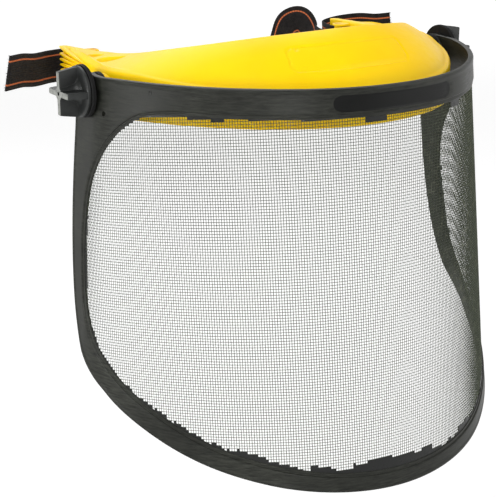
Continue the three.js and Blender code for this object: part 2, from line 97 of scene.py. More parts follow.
def linked(name, data):
    """A new object in the scene."""
    item = bpy.data.objects.new(name, data)
    bpy.context.scene.collection.objects.link(item)
    return item


def add_camera():
    """A long lens on the wearer's front right, a little above."""
    data = bpy.data.cameras.new("camera")
    camera = linked("camera", data)
    forward = Vector(CAMERA_FORWARD).normalized()
    right = Vector(CAMERA_RIGHT).normalized()
    up = right.cross(forward)
    camera.location = Vector(CAMERA_PLACE) * MM
    camera.rotation_mode = "QUATERNION"
    camera.rotation_quaternion = Matrix((right, up, -forward)).transposed().to_quaternion()
    data.lens = CAMERA_LENS
    data.shift_x, data.shift_y = CAMERA_SHIFT
    data.clip_start = 0.02
    data.clip_end = 50
    bpy.context.scene.camera = camera


def add_lamp(name, place, power, size):
    """A square soft lamp that faces the middle of the object."""
    data = bpy.data.lights.new(name, "AREA")
    data.energy = power
    data.size = size
    lamp = linked(name, data)
    lamp.location = Vector(place) * MM
    lamp.rotation_mode = "QUATERNION"
    lamp.rotation_quaternion = ((Vector(LAMP_TARGET) - Vector(place)) * MM).to_track_quat("-Z", "Y")


def add_sky():
    """An even white sky, dimmer overhead."""
    world = bpy.data.worlds.new("world")
    bpy.context.scene.world = world
    world.use_nodes = True
    background = world.node_tree.nodes["Background"]
    background.inputs["Color"].default_value = (1.0, 1.0, 1.0, 1.0)
    nodes, links = world.node_tree.nodes, world.node_tree.links
    direction = nodes.new("ShaderNodeTexCoord")
    split = nodes.new("ShaderNodeSeparateXYZ")
    fade = nodes.new("ShaderNodeMapRange")
    for socket, value in zip(("From Min", "From Max", "To Min", "To Max"), (*SKY_FADE, *SKY_STRENGTH)):
        fade.inputs[socket].default_value = value
    links.new(direction.outputs["Generated"], split.inputs["Vector"])
    links.new(split.outputs["Z"], fade.inputs["Value"])
    links.new(fade.outputs["Result"], background.inputs["Strength"])
    bpy.context.scene.view_settings.view_transform = "Standard"


def add_floor():
    """A pale round table under the object, with no edge in sight."""
    bm = bmesh.new()
    bmesh.ops.create_circle(bm, cap_ends=True, radius=FLOOR_RADIUS, segments=64)
    mesh = bpy.data.meshes.new("floor")
    bm.to_mesh(mesh)
    bm.free()
    floor = linked("floor", mesh)
    floor.location.z = FLOOR_Z
    look = Look("floor_white", (0.6, 0.6, 0.6), 0.9, Specular_IOR_Level=0.1)
    look.shader.inputs["Emission Color"].default_value = (1, 1, 1, 1)
    distance = look.nodes.new("ShaderNodeVectorMath")
    distance.operation = "LENGTH"
    look.links.new(look.coordinates(), distance.inputs[0])
    glow = look.remap(distance.outputs["Value"], *FLOOR_GLOW_REACH, *FLOOR_GLOW)
    look.links.new(glow, look.shader.inputs["Emission Strength"])
    mesh.materials.append(look.material)


# ---- Mesh helpers ----
TURNED_SHARP_DEGREES = 35


def curve_point(points, at, closed):
    """A place on the centripetal Catmull-Rom curve through the points. `at` runs from 0 to 1."""
    count = len(points)
    place = (count if closed else count - 1) * at
    whole = int(math.floor(place))
    part = place - whole
    if not closed and whole >= count - 1:
        whole, part = count - 2, 1.0

    def corner(i):
        if closed:
            return points[i % count]
        if i < 0:
            return [2 * a - b for a, b in zip(points[0], points[1])]
        if i >= count:
            return [2 * a - b for a, b in zip(points[-1], points[-2])]
        return points[i]

    p = [corner(whole + k) for k in (-1, 0, 1, 2)]
    steps = [max(math.dist(p[k], p[k + 1]) ** 0.5, 1e-4) for k in range(3)]
    result = []
    for a, b, c, d in zip(*p):
        start = (b - a) / steps[0] - (c - a) / (steps[0] + steps[1]) + (c - b) / steps[1]
        end = (c - b) / steps[1] - (d - b) / (steps[1] + steps[2]) + (d - c) / steps[2]
        start, end = start * steps[1], end * steps[1]
        result.append(b + part * (start + part * (3 * (c - b) - 2 * start - end
                                                  + part * (2 * (b - c) + start + end))))
    return result


def smoothstep(low, high, value):
    """Eases from 0 to 1 as the value goes from low to high."""
    t = min(max((value - low) / (high - low), 0), 1)
    return t * t * (3 - 2 * t)


def mesh_object(name, points, faces, material, smooth=True, uvs=None):
    """A linked object from points in millimetres."""
    mesh = bpy.data.meshes.new(name)
    mesh.from_pydata([(x * MM, y * MM, z * MM) for x, y, z in points], [], faces)
    mesh.validate()
    if uvs:
        layer = mesh.uv_layers.new(name="UVMap")
        for polygon in mesh.polygons:
            for loop in polygon.loop_indices:
                layer.data[loop].uv = uvs[mesh.loops[loop].vertex_index]
    mesh.materials.append(material)
    for polygon in mesh.polygons:
        polygon.use_smooth = smooth
    return linked(name, mesh)


def skin(rings, closed, first_vertex=0):
    """Quads between neighbouring rings, and a flat cap on each end of an open row of rings."""
    count = len(rings[0])
    faces = []
    for r in range(len(rings) if closed else len(rings) - 1):
        here = first_vertex + r * count
        there = first_vertex + ((r + 1) % len(rings)) * count
        for i in range(count):
            j = (i + 1) % count
            faces.append((here + i, here + j, there + j, there + i))
    if not closed:
        last = first_vertex + (len(rings) - 1) * count
        faces.append(tuple(first_vertex + i for i in reversed(range(count))))
        faces.append(tuple(last + i for i in range(count)))
    return faces


def face_outward(piece, weld=False):
    """Turns every face outward, and with `weld` first joins the vertices that lie on each other."""
    bm = bmesh.new()
    bm.from_mesh(piece.data)
    if weld:
        bmesh.ops.remove_doubles(bm, verts=bm.verts, dist=1e-7)
    bmesh.ops.recalc_face_normals(bm, faces=bm.faces)
    bm.to_mesh(piece.data)
    bm.free()


def loft(name, rings, closed, material, sharp_degrees=40):
    """A solid skinned over a row of rings, with its steeper edges marked sharp."""
    points = [point for ring in rings for point in ring]
    piece = mesh_object(name, points, skin(rings, closed), material)
    face_outward(piece)
    piece.data.set_sharp_from_angle(angle=math.radians(sharp_degrees))
    return piece


def turned(name, profile, material, side, segments=96):
    """A solid of revolution about X. Its profile is a closed section of (x, radius) pairs, and
    `side` puts it on the wearer's left or right."""
    rings = []
    for k in range(segments):
        turn = 2 * math.pi * k / segments
        rings.append([(side * x, radius * math.cos(turn), radius * math.sin(turn)) for x, radius in profile])
    piece = mesh_object(name, [point for ring in rings for point in ring], skin(rings, True), material)
    face_outward(piece, weld=True)
    piece.data.set_sharp_from_angle(angle=math.radians(TURNED_SHARP_DEGREES))
    return piece


def bore(piece, centre, radius, length, segments=48):
    """Cuts a round hole along X through a piece, with its middle at `centre`."""
    bm = bmesh.new()
    bmesh.ops.create_cone(bm, cap_ends=True, segments=segments, radius1=radius * MM, radius2=radius * MM,
                          depth=length * MM)
    bm.transform(Matrix.Translation(Vector(centre) * MM) @ Matrix.Rotation(math.pi / 2, 4, "Y"))
    mesh = bpy.data.meshes.new("cutter")
    bm.to_mesh(mesh)
    bm.free()
    cutter = linked("cutter", mesh)
    modifier = piece.modifiers.new("bore", "BOOLEAN")
    modifier.operation = "DIFFERENCE"
    modifier.solver = "EXACT"
    modifier.object = cutter
    cut = bpy.data.meshes.new_from_object(piece.evaluated_get(bpy.context.evaluated_depsgraph_get()))
    piece.modifiers.clear()
    piece.data = cut
    bpy.data.objects.remove(cutter)
    bpy.data.meshes.remove(mesh)
    piece.data.set_sharp_from_angle(angle=math.radians(TURNED_SHARP_DEGREES))


def add_piece(piece, body, slot, *nodes):
    """Declares what a piece moves with and hides the CAD nodes it stands for. The slot, its finish, is not
    used.
    """
    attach(piece, body)
    if nodes:
        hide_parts(*nodes)


# ---- Material helpers ----

class Look:
    """A Principled material with helpers for its procedural detail."""

    def __init__(self, name, colour, roughness, metallic=0.0, **sockets):
        self.material = bpy.data.materials.new(name)
        self.material.use_nodes = True
        self.nodes = self.material.node_tree.nodes
        self.links = self.material.node_tree.links
        self.shader = self.nodes["Principled BSDF"]
        self.shader.inputs["Base Color"].default_value = (*colour, 1)
        self.shader.inputs["Roughness"].default_value = roughness
        self.shader.inputs["Metallic"].default_value = metallic
        for socket, value in sockets.items():
            self.shader.inputs[socket.replace("_", " ")].default_value = value
        self.height = None

    def coordinates(self, stretch=(1, 1, 1)):
        """Places on the object in metres, scaled along each axis."""
        source = self.nodes.new("ShaderNodeTexCoord")
        mapping = self.nodes.new("ShaderNodeMapping")
        mapping.inputs["Scale"].default_value = stretch
        self.links.new(source.outputs["Object"], mapping.inputs["Vector"])
        return mapping.outputs["Vector"]

    def noise(self, scale, detail=3.0, roughness=0.55, vector=None):
        """Soft random spots, more of them at a higher scale."""
        node = self.nodes.new("ShaderNodeTexNoise")
        node.inputs["Scale"].default_value = scale
        node.inputs["Detail"].default_value = detail
        node.inputs["Roughness"].default_value = roughness
        self.links.new(vector if vector is not None else self.coordinates(), node.inputs["Vector"])
        return node.outputs["Fac"]

    def remap(self, value, from_low, from_high, to_low, to_high):
        """Stretches a value from one range to another and stops at its ends."""
        node = self.nodes.new("ShaderNodeMapRange")
        for socket, number in zip(("From Min", "From Max", "To Min", "To Max"),
                                  (from_low, from_high, to_low, to_high)):
            node.inputs[socket].default_value = number
        self.links.new(value, node.inputs["Value"])
        return node.outputs["Result"]

    def maths(self, operation, first, second=None):
        """One sum on sockets or numbers."""
        node = self.nodes.new("ShaderNodeMath")
        node.operation = operation
        for socket, value in zip(node.inputs, (first, second)):
            if value is None:
                continue
            if isinstance(value, (int, float)):
                socket.default_value = value
            else:
                self.links.new(value, socket)
        return node.outputs["Value"]

    def blend_colours(self, factor, first, second):
        """The first colour where the factor is 0 and the second where it is 1."""
        node = self.nodes.new("ShaderNodeMix")
        node.data_type = "RGBA"
        self.links.new(factor, node.inputs["Factor"])
        for socket, value in ((node.inputs[6], first), (node.inputs[7], second)):
            if isinstance(value, tuple):
                socket.default_value = (*value, 1)
            else:
                self.links.new(value, socket)
        return node.outputs[2]

    def set_colour(self, output):
        """Colours the surface from a socket."""
        self.links.new(output, self.shader.inputs["Base Color"])

    def vary_colour(self, value, low, high, first, second):
        """Colours the surface from `first` to `second` as a value goes from low to high."""
        self.set_colour(self.blend_colours(self.remap(value, low, high, 0, 1), first, second))

    def paint(self, amount, colour):
        """Lays a colour over the ones before it."""
        self.set_colour(self.blend_colours(amount, self.base_output(), colour))

    def vary_roughness(self, value, *span):
        """Drives the roughness with a value, remapped by the four numbers of `span`."""
        self.links.new(self.remap(value, *span), self.shader.inputs["Roughness"])

    def bump(self, height, distance, strength=1.0):
        """Adds a layer of bump on top of the ones before it."""
        node = self.nodes.new("ShaderNodeBump")
        node.inputs["Distance"].default_value = distance * MM
        node.inputs["Strength"].default_value = strength
        self.links.new(height, node.inputs["Height"])
        if self.height is not None:
            self.links.new(self.height, node.inputs["Normal"])
        self.height = node.outputs["Normal"]
        self.links.new(self.height, self.shader.inputs["Normal"])

    def lighten_edges(self, colour, amount=0.6, radius=0.5):
        """Lightens the edges, where the bevelled normal turns away from the face's own."""
        bevel = self.nodes.new("ShaderNodeBevel")
        bevel.samples = 4
        bevel.inputs["Radius"].default_value = radius * MM
        geometry = self.nodes.new("ShaderNodeNewGeometry")
        dot = self.nodes.new("ShaderNodeVectorMath")
        dot.operation = "DOT_PRODUCT"
        self.links.new(bevel.outputs["Normal"], dot.inputs[0])
        self.links.new(geometry.outputs["Normal"], dot.inputs[1])
        edge = self.remap(dot.outputs["Value"], 1.0, 0.8, 0.0, amount)
        patchy = self.maths("MULTIPLY", edge, self.remap(self.noise(300, 4), 0.35, 0.65, 0.2, 1.0))
        self.paint(patchy, colour)

    def side_distance(self):
        """The distance from the centre plane, in millimetres."""
        split = self.nodes.new("ShaderNodeSeparateXYZ")
        self.links.new(self.coordinates(), split.inputs["Vector"])
        return self.maths("MULTIPLY", self.maths("ABSOLUTE", split.outputs["X"]), 1 / MM)

    def base_output(self):
        """The colour so far, as a socket or as three numbers."""
        socket = self.shader.inputs["Base Color"]
        if socket.links:
            return socket.links[0].from_socket
        return tuple(socket.default_value)[:3]


def yellow_plastic():
    """Glossy moulded yellow: slow waves from the mould, a fine grain and a few rubbed places."""
    look = Look("yellow_plastic", (0.9, 0.6, 0.001), 0.38, Coat_Weight=0.03, Coat_Roughness=0.25,
                Subsurface_Weight=0.1, Specular_IOR_Level=0.15)
    look.shader.inputs["Subsurface Radius"].default_value = (0.004, 0.002, 0.0005)
    tone = look.noise(14, 4, 0.6)
    look.vary_colour(tone, 0.35, 0.65, (0.9, 0.595, 0.001), (0.86, 0.535, 0.001))
    scuffs = look.noise(90, 6, 0.65, look.coordinates(stretch=(1, 6, 3)))
    look.vary_roughness(scuffs, 0.3, 0.75, 0.3, 0.5)
    look.bump(look.noise(10, 1), 0.35, 0.35)
    look.bump(look.noise(2600, 2), 0.012, 0.5)
    return look.material


def frame_plastic():
    """Dark moulded plastic with a fine pulled grain, grey scuffs and lighter edges."""
    look = Look("frame_plastic", (0.031, 0.032, 0.028), 0.5, Specular_IOR_Level=0.15)
    streaks = look.noise(120, 6, 0.7, look.coordinates(stretch=(1, 1, 9)))
    clouds = look.noise(22, 4, 0.6)
    tone = look.maths("MULTIPLY", look.remap(streaks, 0.35, 0.7, 0, 1),
                      look.remap(clouds, 0.3, 0.7, 0.3, 1))
    look.set_colour(look.blend_colours(tone, (0.007, 0.0075, 0.006), (0.04, 0.042, 0.034)))
    look.lighten_edges((0.11, 0.11, 0.1), 0.5, 0.4)
    attribute = look.nodes.new("ShaderNodeAttribute")
    attribute.attribute_name = "panel_inside"
    panel = look.remap(attribute.outputs["Fac"], -0.1, 0.2, 0.0, 0.95)
    look.paint(panel, (0.001, 0.0012, 0.001))
    look.vary_roughness(streaks, 0.3, 0.7, 0.32, 0.5)
    look.bump(streaks, 0.03, 0.5)
    look.bump(look.noise(1800, 2), 0.02, 0.6)
    return look.material


def knob_plastic():
    """Black moulded plastic, dusty in places, with painted highlights on its edges and, in patches, on its
    front face.
    """
    look = Look("knob_plastic", (0.025, 0.026, 0.026), 0.42, Specular_IOR_Level=0.28)
    dust = look.noise(60, 5, 0.6)
    look.vary_colour(dust, 0.4, 0.7, (0.01, 0.011, 0.0105), (0.026, 0.028, 0.027))
    # Painted highlight: the edges are coloured lighter.
    look.lighten_edges((0.19, 0.195, 0.185), 0.6, 0.35)
    # Painted highlight: the front face is coloured lighter, broken into patches by noise.
    face = look.remap(look.side_distance(), KNOB_FACE_X - 0.25, KNOB_FACE_X - 0.05, 0.0, 1.0)
    patchy = look.maths("MULTIPLY", face, look.remap(look.noise(420, 4), 0.3, 0.65, 0.35, 1.0))
    look.paint(patchy, (0.26, 0.265, 0.245))
    look.vary_roughness(dust, 0.3, 0.7, 0.36, 0.55)
    look.bump(look.noise(1500, 2), 0.02, 0.6)
    return look.material


def flash_plastic():
    """Thin black plastic that ran out between the wires when the frame was moulded."""
    look = Look("flash_plastic", (0.0035, 0.004, 0.0035), 0.3, Specular_IOR_Level=0.3)
    look.vary_roughness(look.noise(400, 4), 0.3, 0.7, 0.22, 0.5)
    look.bump(look.noise(700, 3), 0.15, 0.6)
    return look.material


def wire_metal():
    """Dark coated wire with brighter rubbed crowns."""
    look = Look("wire_metal", (0.02, 0.024, 0.019), 0.45, 0.3, Specular_IOR_Level=0.35)
    rub = look.noise(260, 4, 0.6)
    look.vary_colour(rub, 0.5, 0.75, (0.028, 0.036, 0.018), (0.12, 0.13, 0.09))
    look.vary_roughness(rub, 0.3, 0.7, 0.32, 0.6)
    look.bump(look.noise(4000, 2), 0.01, 0.5)
    return look.material


def rubber():
    """Dull black rubber with a fine grain, coloured darker still as painted shade for the gap behind each
    knob's flange.
    """
    look = Look("rubber", (0.006, 0.006, 0.006), 0.8, Specular_IOR_Level=0.2)
    look.vary_roughness(look.noise(200, 5), 0.3, 0.7, 0.65, 0.9)
    look.bump(look.noise(2200, 3), 0.04, 0.7)
    return look.material


def plated_steel():
    """Zinc-plated steel with turning marks round the pivot axis and a few dull spots."""
    look = Look("plated_steel", (0.56, 0.57, 0.56), 0.32, 1.0)
    rings = look.noise(900, 2, 0.5, look.coordinates(stretch=(6, 1, 1)))
    spots = look.noise(130, 4)
    look.vary_colour(spots, 0.45, 0.7, (0.6, 0.6, 0.58), (0.42, 0.41, 0.38))
    look.vary_roughness(spots, 0.3, 0.7, 0.24, 0.5)
    look.bump(rings, 0.02, 0.5)
    return look.material


def dark_nylon():
    """Near-black nylon, a little polished in places."""
    look = Look("dark_nylon", (0.022, 0.022, 0.023), 0.5)
    look.vary_roughness(look.noise(150, 4), 0.3, 0.7, 0.4, 0.65)
    look.bump(look.noise(1200, 3), 0.03, 0.6)
    return look.material


def terry_cloth():
    """Dark sweatband cloth: a looped pile with lint, paler at the middle of each loop and darker between the
    loops.
    """
    look = Look("terry_cloth", (0.03, 0.03, 0.033), 0.95, Sheen_Weight=0.5, Sheen_Roughness=0.5)
    pile = look.nodes.new("ShaderNodeTexVoronoi")
    pile.inputs["Scale"].default_value = 900
    look.links.new(look.coordinates(), pile.inputs["Vector"])
    loops = look.remap(pile.outputs["Distance"], 0.0, 0.6, 1.0, 0.0)
    lint = look.noise(70, 5, 0.65)
    tone = look.maths("MULTIPLY", loops, look.remap(lint, 0.3, 0.7, 0.35, 1.0))
    look.set_colour(look.blend_colours(tone, (0.018, 0.018, 0.02), (0.07, 0.07, 0.074)))
    look.bump(lint, 0.5, 0.5)
    look.bump(loops, 0.35, 0.8)
    return look.material


STRIPE_PLACES = (0.17, 0.83)
STRIPE_HALF_WIDTH = 0.022
CORDS_ACROSS = 15
PICK_LENGTH = 1.1


def elastic_webbing():
    """Black woven elastic with two thin orange stripes. U runs across the band from 0 to 1 and V is
    the length along it in millimetres."""
    look = Look("elastic_webbing", (0.01, 0.009, 0.009), 0.9, Sheen_Weight=0.06, Sheen_Roughness=0.4,
                Specular_IOR_Level=0.2)
    source = look.nodes.new("ShaderNodeTexCoord")
    split = look.nodes.new("ShaderNodeSeparateXYZ")
    look.links.new(source.outputs["UV"], split.inputs["Vector"])
    across, along = split.outputs["X"], split.outputs["Y"]
    cords = look.maths("SINE", look.maths("MULTIPLY", across, 2 * math.pi * CORDS_ACROSS))
    picks = look.maths("SINE", look.maths("MULTIPLY", along, 2 * math.pi / PICK_LENGTH))
    checker = look.maths("MULTIPLY", cords, picks)
    fuzz = look.noise(500, 4, 0.65)
    stripe = None
    for place in STRIPE_PLACES:
        away = look.maths("ABSOLUTE", look.maths("SUBTRACT", across, place))
        near = look.remap(away, STRIPE_HALF_WIDTH * 1.25, STRIPE_HALF_WIDTH * 0.75, 0, 1)
        stripe = near if stripe is None else look.maths("MAXIMUM", stripe, near)
    broken = look.maths("MULTIPLY", stripe, look.remap(picks, -1.0, 0.2, 0.55, 1.0))
    ground = look.blend_colours(look.remap(fuzz, 0.35, 0.7, 0, 1), (0.005, 0.0042, 0.004),
                                (0.017, 0.014, 0.013))
    look.set_colour(look.blend_colours(broken, ground, (0.5, 0.13, 0.045)))
    look.bump(look.remap(cords, -1, 1, 0, 1), 0.25, 0.7)
    look.bump(look.remap(checker, -1, 1, 0, 1), 0.16, 0.8)
    look.bump(fuzz, 0.08, 0.6)
    return look.material


# ---- Visor surface ----

def visor_front_y():
    """Where the visor's top edge crosses the centre plane."""
    angle, rise = 0, 0
    for radius, turn in VISOR_ARCS:
        rise += radius * (math.cos(angle) - math.cos(angle + turn))
        angle += turn
    return EAR_START_Y - rise


VISOR_FRONT_Y = visor_front_y()


def visor_plan(s):
    """(x, y, normal x, normal y, turn) of the visor's top edge at s along it from the front middle."""
    side = -1 if s < 0 else 1
    rest, angle, x, y = abs(s), 0.0, 0.0, VISOR_FRONT_Y
    for radius, turn in VISOR_ARCS:
        step = min(rest / radius, turn)
        x += radius * (math.sin(angle + step) - math.sin(angle))
        y += radius * (math.cos(angle) - math.cos(angle + step))
        angle += step
        rest -= step * radius
    return side * x, y + rest, side * math.sin(angle), -math.cos(angle), side * angle


def visor_point(s, h, out=0.0):
    """The place h below the top edge at s, moved outward by `out`."""
    x, y, nx, ny, _ = visor_plan(s)
    away = FLARE * h + out
    return (x + nx * away, y + ny * away, TOP_Z - h)


def frame_stations(count):
    """Pairs of points on the frame's outer edge and its opening, as (s, h), all the way round."""
    mirrored = [(-so, ho, -si, hi) for so, ho, si, hi in reversed(FRAME_EDGES[1:-1])]
    rows = FRAME_EDGES + mirrored
    outer, opening = [row[:2] for row in rows], [row[2:] for row in rows]
    return [(curve_point(outer, k / count, True), curve_point(opening, k / count, True))
            for k in range(count)]


def from_opening(station, distance):
    """The (s, h) of a place at a distance from the opening towards the outer edge."""
    edge, mouth = station
    part = distance / math.dist(edge, mouth)
    return (mouth[0] + (edge[0] - mouth[0]) * part, mouth[1] + (edge[1] - mouth[1]) * part)


# A plain recess with round ends in the front of the band.
PANEL_HALF_LENGTH = 39
PANEL_MIDDLE_H = 7.8
PANEL_HALF_HEIGHT = 4.3
PANEL_DEPTH = 0.45
FAR_OUTSIDE_PANEL = -2


def inside_panel(s, h):
    """How far a place lies inside the panel's outline; negative outside it."""
    along = max(abs(s) - (PANEL_HALF_LENGTH - PANEL_HALF_HEIGHT), 0)
    return PANEL_HALF_HEIGHT - math.hypot(along, h - PANEL_MIDDLE_H)


def panel_depth(s, h):
    """How deep the panel is sunk at a place."""
    return PANEL_DEPTH * smoothstep(-0.25, 0.35, inside_panel(s, h))


def mark_panel(piece):
    """Writes how far each vertex lies inside the recessed panel, where the frame is coloured darker."""
    radius = VISOR_ARCS[0][0] + 2
    inside = piece.data.attributes.new("panel_inside", "FLOAT", "POINT")
    for vertex in piece.data.vertices:
        x, y, z = (value / MM for value in vertex.co)
        distance = FAR_OUTSIDE_PANEL
        if y < VISOR_FRONT_Y + 15 and z > TOP_Z - 15:
            s = VISOR_ARCS[0][0] * math.asin(x / radius)
            distance = max(inside_panel(s, TOP_Z - z), FAR_OUTSIDE_PANEL)
        inside.data[vertex.index].value = distance


FRAME_STATIONS = 560
FRAME_FACE_OUT = 1.42
FRAME_FACE_STEPS = 22
FRAME_INNER_STEPS = 5
BOLT_HOLE_RADIUS = 3.2
PINHOLE_RADIUS = 1.5
PINHOLE_Y, PINHOLE_Z = -17, -10
EAR_X = 122


def rim_section(width):
    """The frame's section as (distance from the opening, distance out from the wall), all the way
    round: a thin lip, a groove, a flat face, a thicker outer edge and a plain back."""
    lip = [(0.0, 0.45), (0.3, 0.8), (1.1, 0.8), (1.5, 0.62), (2.0, 0.66), (2.5, 1.3), (3.1, FRAME_FACE_OUT)]
    face = [(3.1 + (width - 6.2) * k / FRAME_FACE_STEPS, FRAME_FACE_OUT) for k in range(1, FRAME_FACE_STEPS)]
    edge = [(width - 2.4, FRAME_FACE_OUT), (width - 1.9, 1.62), (width - 0.9, 1.66), (width - 0.3, 1.4),
            (width, 0.7), (width, -0.9), (width - 0.4, -1.35)]
    back = [(3.0 + (width - 4.4) * k / FRAME_INNER_STEPS, -1.4) for k in range(FRAME_INNER_STEPS, -1, -1)]
    return lip + face + edge + back + [(2.0, -1.0), (0.4, -0.8), (0.0, -0.4)]


def build_visor_frame(material):
    """The moulded rim, with a bolt hole and a pinhole through each ear."""
    rings = []
    for station in frame_stations(FRAME_STATIONS):
        ring = []
        for distance, out in rim_section(math.dist(*station)):
            s, h = from_opening(station, distance)
            if out >= FRAME_FACE_OUT:
                out -= panel_depth(s, h)
            ring.append(visor_point(s, h, out))
        rings.append(ring)
    piece = loft("visor_rim", rings, True, material, 50)
    for side in (RIGHT, LEFT):
        bore(piece, (side * EAR_X, 0, 0), BOLT_HOLE_RADIUS, 16)
        bore(piece, (side * EAR_X, PINHOLE_Y, PINHOLE_Z), PINHOLE_RADIUS, 20)
    mark_panel(piece)
    add_piece(piece, "visor", "frame_black", "visor_frame")


EAR_SEAT_PROFILE = [(119.2, 3.2), (119.2, 8.9), (119.7, 9.4), (124.7, 9.4), (125.2, 8.9), (125.2, 3.2)]


def build_ear_seats(material):
    """The round seats inside the ears."""
    for side, name in SIDES:
        seat = turned(f"ear_seat_{name}", EAR_SEAT_PROFILE, material, side)
        add_piece(seat, "visor", "frame_black")


MOULD_MARK_PLACE = (134.7, 5)
# The ring's section, as (radius, height above the frame's face).
MOULD_MARK_PROFILE = [(0.0, -0.3), (0.55, -0.3), (0.75, 0.12), (1.05, 0.16), (1.3, -0.25)]
MOULD_MARK_STEPS = 24


def build_mould_marks(material):
    """Two small raised rings where the mould's ejector pins stood."""
    s, h = MOULD_MARK_PLACE
    for side, name in SIDES:
        _, _, nx, ny, _ = visor_plan(side * s)
        centre = Vector(visor_point(side * s, h, FRAME_FACE_OUT))
        out = Vector((nx, ny, 0))
        across = Vector((-ny, nx, 0))
        up = Vector((0, 0, 1))
        rings = []
        for k in range(MOULD_MARK_STEPS):
            turn = 2 * math.pi * k / MOULD_MARK_STEPS
            spoke = across * math.cos(turn) + up * math.sin(turn)
            rings.append([centre + spoke * radius + out * lift for radius, lift in MOULD_MARK_PROFILE])
        points = [tuple(point) for ring in rings for point in ring]
        piece = mesh_object(f"mould_mark_{name}", points, skin(rings, True), material)
        face_outward(piece, weld=True)
        add_piece(piece, "visor", "frame_black")


# ---- Woven screen ----
# The sheet is flat cloth rolled onto the flared wall, so its wires stay square to each other on the
# unrolled sheet. There, U runs across and V runs down from the top edge at the front centre.
CONE = FLARE / math.hypot(1, FLARE)
SLANT = math.hypot(1, FLARE)
RIM_LENGTH = 200


def unrolled_rim():
    """(U, V) of the wall's top edge for each millimetre of s from 0 to RIM_LENGTH."""
    places = [(0.0, 0.0)]
    for k in range(RIM_LENGTH):
        lean = CONE * visor_plan(k + 0.5)[4]
        u, v = places[-1]
        places.append((u + math.cos(lean), v - math.sin(lean)))
    return places


RIM_PLACES = unrolled_rim()


def rim_place(s):
    """(U, V, lean) of the top edge at s on the unrolled sheet."""
    k = min(int(abs(s)), RIM_LENGTH - 1)
    part = abs(s) - k
    (u0, v0), (u1, v1) = RIM_PLACES[k], RIM_PLACES[k + 1]
    u = u0 + (u1 - u0) * part
    return (u if s >= 0 else -u), v0 + (v1 - v0) * part, CONE * visor_plan(s)[4]


def unroll(s, h):
    """The (U, V) of a place on the wall."""
    u, v, lean = rim_place(s)
    return (u + SLANT * h * math.sin(lean), v + SLANT * h * math.cos(lean))


def roll(u, v, s):
    """The (s, h) of a place on the unrolled sheet, found from a nearby s."""
    for _ in range(4):
        rim_u, rim_v, lean = rim_place(s)
        along = (u - rim_u) * math.cos(lean) - (v - rim_v) * math.sin(lean)
        s += along * 0.9
    rim_u, rim_v, lean = rim_place(s)
    return s, ((u - rim_u) * math.sin(lean) + (v - rim_v) * math.cos(lean)) / SLANT


def crossings(outline, axis, value):
    """Lowest and highest place where a closed outline crosses the line axis = value."""
    found = []
    for a, b in zip(outline, outline[1:] + outline[:1]):
        if (a[axis] > value) != (b[axis] > value):
            part = (value - a[axis]) / (b[axis] - a[axis])
            found.append(a[1 - axis] + (b[1 - axis] - a[1 - axis]) * part)
    return (min(found), max(found)) if len(found) >= 2 else None


def wire_points(outline, axis, index):
    """The bent line of one wire: over and under the wires that cross it."""
    own, other = (PITCH_ACROSS, PITCH_DOWN) if axis == 0 else (PITCH_DOWN, PITCH_ACROSS)
    value = (index + 0.5) * own
    span = crossings(outline, axis, value)
    if span is None:
        return []
    first = math.ceil(span[0] / other - 0.5)
    last = math.floor(span[1] / other - 0.5)
    places = [(span[0], 0.0)]
    places += [((k + 0.5) * other, (1 if (k + index + axis) % 2 else -1)) for k in range(first, last + 1)]
    places.append((span[1], 0.0))
    points = []
    s = value if axis == 0 else span[0]
    for place, side in places:
        u, v = (value, place) if axis == 0 else (place, value)
        s, h = roll(u, v, u if not points else s)
        points.append((s, h, side * WIRE_WAVE))
    return points


def wire_section(s, h, wave, axis):
    """Four corners round a wire that runs down (axis 0) or across (axis 1)."""
    x, y, nx, ny, _ = visor_plan(s)
    away = FLARE * h + wave
    centre = (x + nx * away, y + ny * away, TOP_Z - h)
    sideways = (-ny, nx, 0) if axis == 0 else (0, 0, 1)
    outward = (nx, ny, 0)
    return [tuple(centre[i] + WIRE_RADIUS * (a * sideways[i] + b * outward[i]) for i in range(3))
            for a, b in ((1, 0), (0, 1), (-1, 0), (0, -1))]


def build_wires(name, outline, axis, indices, material):
    """Four-sided wires for a run of indices, all in one mesh."""
    points, faces = [], []
    for index in indices:
        line = wire_points(outline, axis, index)
        if len(line) < 3:
            continue
        rings = [wire_section(s, h, wave, axis) for s, h, wave in line]
        faces += skin(rings, False, len(points))
        points += [point for ring in rings for point in ring]
    return mesh_object(name, points, faces, material)


# Counts of wires that cover the whole opening, from the middle and from the top edge.
COLUMNS = range(-142, 142)
ROWS = range(-10, 140)
SPLIT_ROW = 52
# Each part of the screen: its name, the axis its wires stand on, their indices and the CAD nodes it replaces.
SCREEN_PARTS = [
    ("upright_wires_right", 0, range(COLUMNS.start, 0), ["visor_screen"]),
    ("upright_wires_left", 0, range(0, COLUMNS.stop), []),
    ("level_wires_upper", 1, range(ROWS.start, SPLIT_ROW), []),
    ("level_wires_lower", 1, range(SPLIT_ROW, ROWS.stop), []),
]
SCREEN_OUTLINE_POINTS = 720
# How far inside the frame the wires end, and the first cells of the flash.
WIRE_GRIP = 1.9
FLASH_GRIP = 1.3


def build_screen(material, flash_material):
    """The woven wires, gripped in the frame, and the plastic that ran out between them."""
    stations = frame_stations(SCREEN_OUTLINE_POINTS)
    grip = [unroll(*from_opening(station, WIRE_GRIP)) for station in stations]
    mouth = [unroll(*from_opening(station, FLASH_GRIP)) for station in stations]
    for name, axis, indices, nodes in SCREEN_PARTS:
        add_piece(build_wires(name, grip, axis, indices, material), "visor", "screen_wire", *nodes)
    add_piece(build_flash(mouth, flash_material), "visor", "frame_black")


# Where more plastic ran out: from and to along the front, top or bottom edge, cells deep.
FLASH_PATCHES = [
    (-116, -97, "top", 1), (-23, -11, "top", 2), (40, 52, "top", 2),
    (-100, -84, "bottom", 2), (-60, -48, "bottom", 2), (-36, -28, "bottom", 3), (-28, 4, "bottom", 4),
    (4, 18, "bottom", 3), (44, 58, "bottom", 2), (90, 104, "bottom", 2),
]


